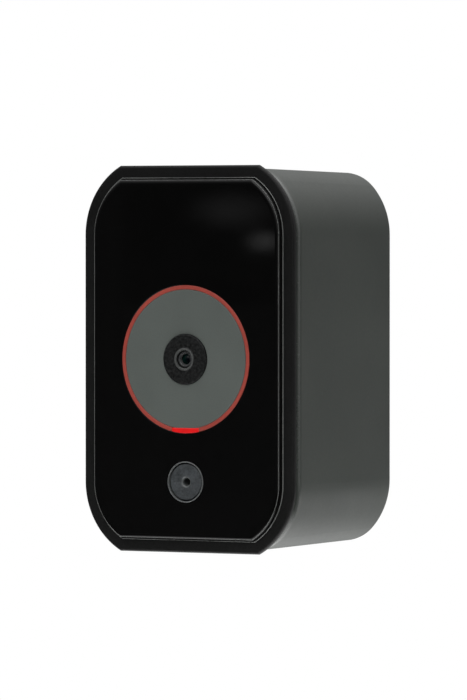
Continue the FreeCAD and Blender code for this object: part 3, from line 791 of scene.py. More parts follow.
NODE_FINISHES = {
    "housing": Finishes.case,
    "front_bezel": Finishes.bezel,
    "case_gasket": Finishes.rubber,
    "front_glass": Finishes.glass,
    "glass_tape": Finishes.foam,
    "light_ring": Finishes.ring,
    "status_light": Finishes.status,
    "camera_plate": Finishes.plate,
    "lens_nose": Finishes.nose,
    "lens_barrel": Finishes.barrel,
    "front_lens": Finishes.lens,
    "rear_lens": Finishes.lens,
    "lens_holder": Finishes.moulding,
    "ir_filter": Finishes.filter_coat,
    "image_sensor": Finishes.sensor,
    "camera_board": Finishes.board,
    "camera_screws": Finishes.screw,
    "camera_ribbon": Finishes.film,
    "ribbon_sockets": Finishes.ivory,
    "button_guide": Finishes.guide,
    "button_cap": Finishes.cap,
    "button_dome": Finishes.silicone,
    "contact_ring": Finishes.carbon,
    "microphone": Finishes.tin,
    "front_board": Finishes.board,
    "ring_leds": Finishes.lamp,
    "chassis": Finishes.moulding,
    "main_board": Finishes.board,
    "shield_cans": Finishes.tin,
    "board_chips": Finishes.chip,
    "board_screws": Finishes.screw,
    "wifi_aerial": Finishes.copper,
    "battery": Finishes.wrap,
    "battery_tray": Finishes.moulding,
    "power_board": Finishes.board,
    "power_parts": Finishes.power,
    "terminal_posts": Finishes.brass,
    "terminal_clamps": Finishes.tin,
    "terminal_screws": Finishes.screw,
    "speaker_frame": Finishes.steel,
    "speaker_cone": Finishes.paper,
    "speaker_foam": Finishes.foam,
    "case_screws": Finishes.screw,
    "bezel_screws": Finishes.screw,
    "wall_bracket": Finishes.bracket,
    "security_screw": Finishes.dark_screw,
}


# ------------------------------------------------------------------ studio


@dataclass(frozen=True)
class Softbox:
    """A soft light with a flat oblong face.

    Attributes:
        name: The light's name.
        place: Where it hangs, in metres.
        towards: The point that it faces, in metres.
        size: Its width and height, in metres.
        power: Its power, in watts.
    """

    name: str
    place: Point
    towards: Point
    size: Pair
    power: float

    def hang(self) -> None:
        """Makes the light and turns its face to its point."""
        data = bpy.data.lights.new(self.name, "AREA")
        data.shape = "RECTANGLE"
        data.size, data.size_y = self.size
        data.energy = self.power
        lamp = bpy.data.objects.new(self.name, data)
        lamp.location = self.place
        lamp.visible_camera = False
        lamp.rotation_mode = "QUATERNION"
        facing = Vector(self.towards) - Vector(self.place)
        lamp.rotation_quaternion = facing.to_track_quat("-Z", "Y")
        bpy.context.scene.collection.objects.link(lamp)


@dataclass(frozen=True)
class Oval:
    """A soft oval of light on an upright card.

    Its strength falls smoothly from the middle to nothing where the squares of x / reach across and
    z / reach up add up to 1.

    Attributes:
        centre: Its middle's x and z, in metres.
        reach: How far it goes across and up, in metres.
        power: Its strength in the middle.
    """

    centre: Pair
    reach: Pair
    power: float

    def strength(self, tree: Tree) -> bpy.types.NodeSocket:
        """The light's strength.

        Args:
            tree: The card's material tree.

        Returns:
            The strength at each place.
        """
        (x, z), (across, up) = self.centre, self.reach
        away = tree.away((-x / across, 0.0, -z / up), (1.0 / across, 0.0, 1.0 / up))
        smooth = {"interpolation_type": "SMOOTHSTEP"}
        made = tree.add("MapRange", smooth, Value=away, To_Min=self.power, To_Max=0.0)
        return made.outputs["Result"]


@dataclass
class Studio:
    """The camera, the pale floor, the soft lights and the white surround.

    Attributes:
        azimuth: How far the camera stands round to the right of the face, in degrees.
        elevation: How far it stands above the middle, in degrees.
        distance: From the camera to the middle of the frame round the glass, in metres.
        focal: The lens, in millimetres on a 36 mm sensor.
        aside: How far the view is moved to the right of that middle, in metres.
        above: How far the view is moved above it, in metres.
        aim: That middle.
        low: The light of the surround near the horizon.
        tall: How much more comes from straight above, and the power that it rises by.
        rim: How much a curved strip gives that goes from the right over the top, beside the object.
        rim_base: The share of it that the strip has at the horizon.
        rim_y: Where the strip's middle lies, and how fast it falls off to both sides.
        rim_x: Where the strip starts, and how fast it rises from there.
        floor: The floor's height, in metres.
        floor_rings: The radii of the floor's rings, in metres.
        floor_fade: Between which distances the paper turns to plain white, in metres.
        bounce: How much light the floor gives back right under the object.
        bounce_reach: How far that goes, in metres.
        beyond: How much it gives back behind the object.
        beyond_at: Where the middle of that patch lies, in metres.
        beyond_reach: How far the patch goes, in metres.
        softboxes: The soft lights above and to both sides, and a strip for the left edge.
        card: The dim card's x, y and z at its near low corner and its far high one, in metres.
        ovals: The soft ovals on the card that show in the glass.
    """

    azimuth: float = 30.5
    elevation: float = 1.0
    distance: float = 1.8
    focal: float = 332.2
    aside: float = 12.6 * MM
    above: float = 2.55 * MM
    aim: Vector = field(default_factory=lambda: Vector((0.0, -60.0 * MM, 0.0)))
    low: float = 0.03
    tall: Pair = (1.7, 1.4)
    rim: float = 4.0
    rim_base: float = 0.12
    rim_y: Pair = (0.38, 3.2)
    rim_x: Pair = (-0.2, 3.0)
    floor: float = -0.22
    floor_rings: Tuple[float, ...] = (0.001, 0.5, 1.0, 1.6, 2.2)
    floor_fade: Pair = (0.15, 1.2)
    bounce: float = 3.5
    bounce_reach: float = 0.3
    beyond: float = 1.7
    beyond_at: Pair = (0.35, 0.75)
    beyond_reach: float = 0.75
    softboxes: Tuple[Softbox, ...] = (
        Softbox("front_top", (0.15, -1.1, 0.95), (0.0, -0.03, 0.0), (1.0, 1.0), 5.1),
        Softbox("front_right", (0.62, -1.25, 0.1), (0.0, -0.05, 0.0), (0.35, 1.0), 0.9),
        Softbox("right_side", (1.1, 0.5, 0.0), (0.0, -0.05, 0.0), (0.4, 1.2), 0.95),
        Softbox("left_rear", (-1.2, 0.62, 0.0), (0.0, -0.06, 0.0), (0.3, 1.3), 3.0),
    )
    card: Tuple[Point, Point] = ((-0.29, -0.5, 0.01), (-0.2, -0.5, 0.07))
    ovals: Tuple[Oval, ...] = (
        Oval((-0.2300, 0.0325), (10.5 * MM, 5.0 * MM), 1.2),
        Oval((-0.2433, 0.0435), (24.0 * MM, 9.0 * MM), 0.34),
    )

    def build(self) -> None:
        """Sets up everything round the object."""
        self.set_camera()
        self.set_world()
        self.lay_floor()
        for softbox in self.softboxes:
            softbox.hang()
        self.hang_card()

    def set_camera(self) -> None:
        """Places the camera on its line to the face and makes it the scene's own."""
        round_by, rise = math.radians(self.azimuth), math.radians(self.elevation)
        level = math.cos(rise)
        back = Vector((math.sin(round_by) * level, -math.cos(round_by) * level, math.sin(rise)))
        right = Vector((math.cos(round_by), math.sin(round_by), 0.0))
        up = back.cross(right)
        data = bpy.data.cameras.new("camera")
        data.lens = self.focal
        data.sensor_width = 36.0
        data.clip_start = 0.05
        data.clip_end = 50.0
        camera = bpy.data.objects.new("camera", data)
        camera.location = self.aim + back * self.distance + right * self.aside + up * self.above
        camera.rotation_mode = "QUATERNION"
        camera.rotation_quaternion = (-back).to_track_quat("-Z", "Y")
        bpy.context.scene.collection.objects.link(camera)
        bpy.context.scene.camera = camera

    def set_world(self) -> None:
        """A white surround to look at, which lights with a dark band round the horizon.

        The light that falls on the object from a direction with parts x, y, z is
        low + tall * max(z, 0) to its power. In the strip, where y is near its middle and x is past
        its start, there is rim * (base + z squared) on top of it.
        """
        world = bpy.data.worlds.new("surround")
        bpy.context.scene.world = world
        tree = Tree(world)
        parts = tree.add("SeparateXYZ", Vector=tree.coordinates["Generated"]).outputs
        upward = tree.maths("POWER", tree.maths("MAXIMUM", parts["Z"], 0.0), self.tall[1])
        tall = tree.maths("MULTIPLY", upward, self.tall[0])
        high = tree.maths("ADD", tree.maths("POWER", parts["Z"], 2.0), self.rim_base)
        off = tree.maths("ABSOLUTE", tree.maths("SUBTRACT", parts["Y"], self.rim_y[0]))
        fallen = tree.maths("SUBTRACT", 1.0, tree.maths("MULTIPLY", off, self.rim_y[1]))
        near = tree.maths("MAXIMUM", fallen, 0.0)
        past = tree.maths("SUBTRACT", parts["X"], self.rim_x[0])
        past = tree.maths("MULTIPLY", past, self.rim_x[1])
        right = tree.maths("MINIMUM", tree.maths("MAXIMUM", past, 0.0), 1.0)
        strip = tree.maths("MULTIPLY", tree.maths("MULTIPLY", high, near), right)
        strip = tree.maths("MULTIPLY", strip, self.rim)
        level = tree.maths("ADD", tree.maths("ADD", tall, strip), self.low)
        lighting = tree.add("Background", Color=WHITE, Strength=level).outputs[0]
        seen = tree.add("Background", Color=WHITE, Strength=1.0).outputs[0]
        tree.finish(tree.mixed(tree.add("LightPath").outputs["Is Camera Ray"], lighting, seen))
        bpy.context.scene.view_settings.view_transform = "Standard"

    def lay_floor(self) -> None:
        """A pale round floor: a disc of rings, so that its edge fades into the surround."""
        turns = np.linspace(0.0, 2.0 * math.pi, 97)[:-1]
        radii = np.array(self.floor_rings)
        x, y = np.outer(radii, np.cos(turns)), np.outer(radii, np.sin(turns))
        grid = np.stack((x, y, np.full_like(x, self.floor)), axis=-1)
        floor = Surface("floor").sheet(grid, around=True).build(None)
        floor.data.materials.append(self.floor_material())

    def floor_material(self) -> bpy.types.Material:
        """Pale matt paper that turns to plain white away from the object.

        The light that it sends to the object is bounce * (1 - (distance / reach) squared) under the
        object, and a wider patch behind it to the right falls evenly to nothing. The horizon in
        front stays dark in what the face reflects.

        Returns:
            The floor's material.
        """
        tree = Tree(bpy.data.materials.new("floor_paper"))
        grey = tree.blend(tree.noise(0.05, 4.0), (0.86, 0.86, 0.86), (0.9, 0.9, 0.9))
        paper = tree.add("BsdfPrincipled", Base_Color=grey, Roughness=0.9).outputs["BSDF"]
        plain = tree.add("Emission", Color=WHITE, Strength=1.0).outputs["Emission"]
        flat = (1.0, 1.0, 0.0)
        away = tree.away((0.0, 0.0, 0.0), flat)
        shown = tree.mixed(tree.spread(away, 0.35, 1.0, source=self.floor_fade), paper, plain)
        fall = tree.maths("POWER", tree.maths("DIVIDE", away, self.bounce_reach), 2.0)
        left = tree.maths("MAXIMUM", tree.maths("SUBTRACT", 1.0, fall), 0.004)
        under = tree.maths("MULTIPLY", left, self.bounce)
        behind = tree.away((-self.beyond_at[0], -self.beyond_at[1], 0.0), flat)
        beyond = tree.spread(behind, self.beyond, 0.0, source=(0.0, self.beyond_reach))
        bounce = tree.add("Emission", Strength=tree.maths("ADD", under, beyond)).outputs["Emission"]
        camera_ray = tree.add("LightPath").outputs["Is Camera Ray"]
        return tree.finish(tree.mixed(camera_ray, bounce, shown))

    def hang_card(self) -> None:
        """A dim upright card to the left of the front, whose soft ovals show in the glass."""
        (left, y, low), (right, _, high) = self.card
        across, up = np.meshgrid(np.linspace(left, right, 9), np.linspace(low, high, 9))
        grid = np.stack((across, np.full_like(across, y), up), axis=-1)
        card = Surface("glass_card").sheet(grid).build(None)
        card.visible_camera = False
        tree = Tree(bpy.data.materials.new("card_light"))
        near, far = (oval.strength(tree) for oval in self.ovals)
        glow = tree.add("Emission", Strength=tree.maths("ADD", near, far))
        card.data.materials.append(tree.finish(glow.outputs["Emission"]))


# ------------------------------------------------------------------ surfaces


class Surface:
    """A mesh put together from grids of points, each grid worked out as one array."""

    def __init__(self, name: str) -> None:
        """Starts with no points.

        Args:
            name: The piece's name.
        """
        self.name = name
        self.points: list = []
        self.quads: list = []
        self.count = 0

    def sheet(self, grid: np.ndarray, around: bool = False, along: bool = False) -> "Surface":
        """Adds a grid: point (i, j) is joined to (i + 1, j) and (i, j + 1).

        Args:
            grid: Points as an array of rows, columns and x, y, z.
            around: Whether the last column joins the first.
            along: Whether the last row joins the first.

        Returns:
            The same surface, so that grids can be added in one line.
        """
        rows, columns = grid.shape[:2]
        index = np.arange(rows * columns).reshape(rows, columns) + self.count
        if around:
            index = np.concatenate((index, index[:, :1]), axis=1)
        if along:
            index = np.concatenate((index, index[:1]), axis=0)
        corners = (index[:-1, :-1], index[1:, :-1], index[1:, 1:], index[:-1, 1:])
        self.quads.append(np.stack(corners, axis=-1).reshape(-1, 4))
        self.points.append(grid.reshape(-1, 3))
        self.count += rows * columns
        return self

    def build(self, body: Optional[Body], crease: float = 32.0) -> bpy.types.Object:
        """Makes the object, with doubles merged and faces turned outwards.

        Args:
            body: The body that the piece rides on, or None for the stage and for the dome.
            crease: The angle past which an edge is left sharp, in degrees.

        Returns:
            The new object.
        """
        points = np.concatenate(self.points)
        quads = np.concatenate(self.quads)
        mesh = bpy.data.meshes.new(self.name)
        mesh.from_pydata(points.tolist(), [], quads.tolist())
        close_mesh(mesh)
        mesh.set_sharp_from_angle(angle=math.radians(crease))
        piece = bpy.data.objects.new(self.name, mesh)
        bpy.context.scene.collection.objects.link(piece)
        if body is not None:
            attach(piece, body.value)
        return piece


def close_mesh(mesh: bpy.types.Mesh) -> None:
    """Merges doubled points, drops faces with no area and turns the rest outwards.

    Args:
        mesh: The mesh, which is changed in place.
    """
    work = bmesh.new()
    work.from_mesh(mesh)
    bmesh.ops.remove_doubles(work, verts=work.verts, dist=1e-7)
    bmesh.ops.dissolve_degenerate(work, edges=work.edges, dist=1e-8)
    bmesh.ops.recalc_face_normals(work, faces=work.faces)
    work.to_mesh(mesh)
    work.free()
    mesh.polygons.foreach_set("use_smooth", np.ones(len(mesh.polygons), dtype=bool))


# ------------------------------------------------------------------ shapes worked out as arrays


def rounded_path(corners: Section) -> np.ndarray:
    """A closed run of straight edges whose corners are rounded.

    A corner of radius r between edges that run from it along a and b becomes the points
    corner + r (a (1 - sin t) + b (1 - cos t)) for t from 0 to a quarter turn, which is a true arc
    where the edges are square to each other. A point a little further out on each edge keeps the
    shading of the flat beside it flat.

    Args:
        corners: Pairs of coordinates, each with the radius of its corner.

    Returns:
        The points as an array of pairs.
    """
    points = np.array([corner[:2] for corner in corners], dtype=float)
    quarter = np.linspace(0.0, 0.5 * math.pi, 7)[:, None]
    further = 1.12
    runs = []
    for number, (*_, radius) in enumerate(corners):
        corner = points[number]
        if radius <= 0.0:
            runs.append(corner[None, :])
            continue
        before = points[number - 1] - corner
        after = points[(number + 1) % len(points)] - corner
        before, after = before / np.linalg.norm(before), after / np.linalg.norm(after)
        arc = corner + radius * (before * (1.0 - np.sin(quarter)) + after * (1.0 - np.cos(quarter)))
        runs.append(corner + further * radius * before[None, :])
        runs.append(arc)
        runs.append(corner + further * radius * after[None, :])
    return np.concatenate(runs)


def refined(
    section: np.ndarray, step: float, picked: Callable[[np.ndarray, np.ndarray], bool]
) -> np.ndarray:
    """Adds evenly spaced points to the edges of a closed section that a test picks.

    Args:
        section: Pairs of coordinates.
        step: The largest distance between points on a picked edge, in metres.
        picked: The test, given both ends of an edge.

    Returns:
        The section with more points.
    """
    runs = []
    for start, end in zip(section, np.roll(section, -1, axis=0)):
        count = max(1, math.ceil(np.linalg.norm(end - start) / step)) if picked(start, end) else 1
        share = np.linspace(0.0, 1.0, count + 1)[:-1, None]
        runs.append(start * (1.0 - share) + end * share)
    return np.concatenate(runs)


@dataclass(frozen=True)
class Eroded:
    """A spark-eroded texture on a flat ring round an axis square to the face.

    Its height is the sum of plane waves of random direction, length and phase, held within the
    largest height by the hyperbolic tangent. It fades evenly to nothing at both edges of the ring.

    Attributes:
        height: The largest height, in metres.
        size: The mean wave length, in metres.
        inner: The ring's inner radius, in metres.
        outer: The ring's outer radius, in metres.
        seed: The seed of the random draws.
        fade: How far the fading goes, in metres.
        waves: How many waves there are.
    """

    height: float
    size: float
    inner: float
    outer: float
    seed: int
    fade: float = 0.3 * MM
    waves: int = 30

    def relief(self, x: np.ndarray, z: np.ndarray) -> np.ndarray:
        """Works out the texture.

        Args:
            x: Positions across from the axis, in metres.
            z: Positions up from the axis, in metres.

        Returns:
            The height at each position.
        """
        rng = np.random.default_rng(self.seed)
        turns = rng.uniform(0.0, 2.0 * math.pi, self.waves)
        lengths = 2.0 * math.pi / (self.size * rng.uniform(0.6, 1.7, self.waves))
        phases = rng.uniform(0.0, 2.0 * math.pi, self.waves)
        travel = x[..., None] * np.cos(turns) + z[..., None] * np.sin(turns)
        summed = np.sin(travel * lengths + phases).sum(axis=-1) / math.sqrt(float(self.waves))
        radius = np.hypot(x, z)
        rising = np.clip((radius - self.inner) / self.fade, 0.0, 1.0)
        falling = np.clip((self.outer - radius) / self.fade, 0.0, 1.0)
        return self.height * np.tanh(summed) * (rising * falling)


class Axis(Enum):
    """The two axes that turned pieces stand on."""

    FACE = "out of the face"
    UP = "upwards"


def turn(profile: np.ndarray, centre: Pair, axis: Axis, steps: int = 96) -> np.ndarray:
    """Carries a profile round an axis.

    A point of the profile at radius r and distance a along the axis goes to the circle of radius r
    about the axis at that distance.

    Args:
        profile: Pairs of radius and distance along the axis, in metres.
        centre: Where the axis passes: x and z for the face axis, x and depth for the upright one.
        axis: Which way the axis runs; distances grow out of the face, or upwards.
        steps: How many columns go round.

    Returns:
        A grid of points, one row for each profile point.
    """
    angle = np.linspace(0.0, 2.0 * math.pi, steps + 1)[:-1]
    radius, along = profile[:, 0:1], np.repeat(profile[:, 1:2], steps, axis=1)
    across, other = radius * np.cos(angle), radius * np.sin(angle)
    if axis is Axis.FACE:
        return np.stack((centre[0] + across, -along, centre[1] + other), axis=-1)
    return np.stack((centre[0] + across, -centre[1] + other, along), axis=-1)


def at_corners(x: float, z: float) -> List[Pair]:
    """The four places at plus or minus x and z, in metres, from millimetres."""
    return [(right * x * MM, up * z * MM) for right in (-1, 1) for up in (-1, 1)]


def dressed(*made: Tuple[bpy.types.Object, Finish, Optional[str], str]) -> List[bpy.types.Object]:
    """Gives pieces their finish and hides the node that each stands for.

    Args:
        *made: For each piece its object, its finish, its node where it has one, and its slot, which
               is not used.

    Returns:
        The pieces.
    """
    for piece, finish, node, slot in made:
        piece.data.materials.append(finish.material())
        if node is not None:
            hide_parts(node)
    return [piece for piece, *_ in made]


@dataclass(frozen=True)
class Outline:
    """The master outline of the case: flat sides, large corner arcs and a flat cut above and below.

    Attributes:
        half_height: From the middle to the flat cut.
        corner_x: From the middle across to the arc's centre.
        corner_z: From the middle up to the arc's centre.
        corner_r: The arc's radius.
        split: The height at which the sides have a point in every loop.
    """

    half_height: float = 54.0 * MM
    corner_x: float = 12.0 * MM
    corner_z: float = 34.6 * MM
    corner_r: float = 22.0 * MM
    split: float = -24.6 * MM

    def loop(self, inset: float, arc: int = 28) -> np.ndarray:
        """The outline moved inwards, clockwise as the face is seen, from the top left.

        Every arc keeps its centre and loses the inset from its radius r. The flat cut is at height
        t, and the arc meets it at the angle whose sine is (t - centre height) / r.

        Args:
            inset: How far inwards, in metres.
            arc: How many points each corner arc gets.

        Returns:
            The points as an array of x and z.
        """
        radius = self.corner_r - inset
        top = self.half_height - inset
        reach = math.asin((top - self.corner_z) / radius)
        sweep = np.linspace(reach, 0.0, arc)
        x = self.corner_x + radius * np.cos(sweep)
        z = self.corner_z + radius * np.sin(sweep)
        flat = np.linspace(-x[0], x[0], 14)[1:-1]
        side = np.concatenate(
            (
                np.linspace(self.corner_z, self.split, 14)[1:-1],
                (self.split,),
                np.linspace(self.split, -self.corner_z, 5)[1:-1],
            )
        )
        wide = np.full(len(side), x[-1])
        across = (flat, x, wide, x[::-1], -flat, -x, -wide, -x[::-1])
        level = np.full(len(flat), top)
        up = (level, z, side, -z[::-1], -level, -z, side[::-1], z[::-1])
        return np.stack((np.concatenate(across), np.concatenate(up)), axis=-1)

    def band(self, rows: np.ndarray) -> np.ndarray:
        """Carries a section round the outline.

        Args:
            rows: Pairs of inset and depth, in metres.

        Returns:
            A grid of points, one row for each pair.
        """
        loops = np.stack([self.loop(inset) for inset in rows[:, 0]])
        depth = np.broadcast_to(rows[:, 1:2], loops.shape[:2])
        return np.stack((loops[..., 0], -depth, loops[..., 1]), axis=-1)

    def line(self, middle: Pair, least: float, more: float) -> np.ndarray:
        """Carries a small round line round the outline, stouter at the sides than above and below.

        At the angle a its section is at the middle plus w (cos a, sin a), where the half width w
        grows with the distance from the middle of the face: w = least + more * |x| / half width.

        Args:
            middle: The inset and the depth of its middle, in metres.
            least: Its half width at the middle of the face, in metres.
            more: What it has more at the sides, in metres.

        Returns:
            A grid of points, one row for each point of the section.
        """
        angle = np.linspace(0.0, 2.0 * math.pi, 13)[:-1]
        unit = 0.1 * MM
        circle = np.array(middle) + unit * np.stack((np.cos(angle), np.sin(angle)), axis=-1)
        grid, centre = self.band(circle), self.band(np.array((middle,)))
        # Stouter at the sides: the painted highlight lines laid with this show more light there.
        width = least + more * np.abs(centre[..., 0:1]) / (self.corner_x + self.corner_r)
        return centre + (grid - centre) * width / unit


OUTLINE = Outline()


# ------------------------------------------------------------------ the face


@dataclass
class FrontBezel:
    """The matt black frame round the glass, with its tongue and four screw bosses.

    Attributes:
        section: Inset, depth and corner radius of each corner of the section, in millimetres.
        boss_at: How far across and up from the middle each boss stands, in millimetres.
        boss: Radius, depth and corner radius of each corner of a boss's section, in millimetres.
        highlight_line: Inset and depth of the light line along the frame's inner edge, a painted
            highlight,
        its half width in the middle and what the sides have more, in metres.
    """

    section: Section = (
        (0.0, 58.5, 0.3),
        (0.0, 60.0, 0.75),
        (3.65, 60.0, 0.2),
        (3.65, 59.0, 0.0),
        (7.0, 59.0, 0.0),
        (7.0, 53.5, 0.3),
        (5.35, 53.5, 0.3),
        (5.35, 58.5, 0.0),
    )
    boss_at: Pair = (24.0, 40.0)
    boss: Section = (
        (1.0, 46.0, 0.1),
        (3.2, 46.0, 0.3),
        (3.2, 58.6, 0.0),
        (0.05, 58.6, 0.0),
        (0.05, 53.0, 0.0),
        (1.0, 53.0, 0.0),
    )
    highlight_line: Tuple[Pair, float, float] = ((3.5 * MM, 60.0 * MM), 0.06 * MM, 0.1 * MM)

    def mesh(self) -> bpy.types.Object:
        """Carries the rounded section round the outline and turns the four bosses.

        Returns:
            The frame.
        """
        surface = Surface("bezel_frame")
        surface.sheet(OUTLINE.band(rounded_path(self.section) * MM), around=True, along=True)
        for place in at_corners(*self.boss_at):
            grid = turn(rounded_path(self.boss) * MM, place, Axis.FACE, 32)
            surface.sheet(grid, around=True, along=True)
        return surface.build(Body.CASE)

    def highlight_line_mesh(self) -> bpy.types.Object:
        """Lays a light grey line along the frame's inner edge: a painted highlight."""
        surface = Surface("bezel_painted_highlight").sheet(OUTLINE.line(*self.highlight_line), around=True, along=True)
        return surface.build(Body.CASE)

    def dress(self) -> List[bpy.types.Object]:
        """Makes the frame and the painted highlight line on its inner edge and gives both their
        finish.

        Returns:
            The pieces.
        """
        return dressed(
            (self.mesh(), Finishes.bezel, "front_bezel", "bezel_black"),
            (self.highlight_line_mesh(), Finishes.highlight_line, None, "bezel_black"),
        )


@dataclass
class GlassFace:
    """The black glass panel with a pencil-ground edge and two countersunk bores.

    Attributes:
        inset: Its edge inside the master outline.
        rear: The depth of its back.
        front: The depth of its front.
        edge: How far the ground edge reaches inwards and back.
        bores: Height and radius of each bore, the camera's first.
        lead: The small chamfer at each bore.
        lip: The small chamfer at the back edge.
        highlight_arris: The half width of the light line on the rim, a painted highlight: above and
            below,
        and what the sides have more.
    """

    inset: float = 3.8 * MM
    rear: float = 59.4 * MM
    front: float = 61.6 * MM
    edge: float = 1.1 * MM
    bores: Tuple[Pair, Pair] = ((0.0, 20.65 * MM), (-34.2 * MM, 5.75 * MM))
    lead: float = 0.12 * MM
    lip: float = 0.2 * MM
    highlight_arris: Pair = (0.02 * MM, 0.075 * MM)

    def halves(self, inset: float) -> Tuple[np.ndarray, np.ndarray]:
        """The panel's outline cut in two by a level line between the bores.

        Args:
            inset: How far inside the master outline.

        Returns:
            The loop round the upper bore and the loop round the lower one.
        """
        loop = OUTLINE.loop(inset)
        on_split = np.flatnonzero(np.isclose(loop[:, 1], OUTLINE.split))
        right, left = sorted(on_split)
        upper = np.concatenate((loop[left:], loop[: right + 1]))
        lower = loop[right : left + 1]
        line = np.linspace(loop[right, 0], loop[left, 0], 40)[1:-1]
        across = np.stack((line, np.full(len(line), OUTLINE.split)), axis=-1)
        return np.concatenate((upper, across)), np.concatenate((lower, across[::-1]))

    def web(self, outer: np.ndarray, height: float, radius: float, depth: float) -> np.ndarray:
        """The flat between a loop and a bore.

        Each point lies on the straight line from the loop to the point of the circle at the same
        bearing from the bore's centre.

        Args:
            outer: The loop as x and z.
            height: The height of the bore's centre.
            radius: The bore's radius.
            depth: The depth of the flat.

        Returns:
            A grid from the loop to the circle.
        """
        bearing = np.arctan2(outer[:, 1] - height, outer[:, 0])
        circle = np.stack((radius * np.cos(bearing), height + radius * np.sin(bearing)), axis=-1)
        share = np.array((0.0, 0.02, 0.35, 0.65, 0.98, 1.0))[:, None, None]
        flat = outer * (1.0 - share) + circle * share
        return np.stack((flat[..., 0], np.full(flat.shape[:2], -depth), flat[..., 1]), axis=-1)

    def mesh(self) -> bpy.types.Object:
        """Joins the rim, the front and back flats and the walls of the bores.

        Returns:
            The panel.
        """
        quarter = np.linspace(0.0, 0.5 * math.pi, 9)
        inwards = self.inset + self.edge * (1.0 - np.cos(quarter))
        rim = np.stack((inwards, self.front - self.edge * (1.0 - np.sin(quarter))), axis=-1)
        back = ((self.inset + self.lip, self.rear), (self.inset, self.rear + self.lip))
        surface = Surface("glass_face")
        surface.sheet(OUTLINE.band(np.concatenate((back, rim))), around=True)
        fronts = self.halves(self.inset + self.edge)
        backs = self.halves(self.inset + self.lip)
        for front, rear, (height, radius) in zip(fronts, backs, self.bores):
            face = self.web(front, height, radius + self.lead, self.front)
            wall = self.web(front, height, radius, self.front - self.lead)[-1:]
            foot = self.web(rear, height, radius, self.rear)
            surface.sheet(face, around=True)
            surface.sheet(np.concatenate((face[-1:], wall)), around=True)
            surface.sheet(np.concatenate((wall, foot[-1:])), around=True)
            surface.sheet(foot, around=True)
        return surface.build(Body.CASE, crease=24.0)

    def highlight_arris_mesh(self) -> bpy.types.Object:
        """Lays a fine light line along the middle of the rim's quarter turn: a painted highlight.

        Returns:
            The line.
        """
        half = self.edge * math.sqrt(0.5)
        middle = (self.inset + self.edge - half, self.front - self.edge + half)
        grid = OUTLINE.line(middle, *self.highlight_arris)
        return Surface("glass_painted_highlight").sheet(grid, around=True, along=True).build(Body.CASE)

    def dress(self) -> List[bpy.types.Object]:
        """Makes the panel and the painted highlight line on its rim and gives both their finish.

        Returns:
            The pieces.
        """
        return dressed(
            (self.mesh(), Finishes.glass, "front_glass", "face_glass"),
            (self.highlight_arris_mesh(), Finishes.highlight_line, None, "face_glass"),
        )


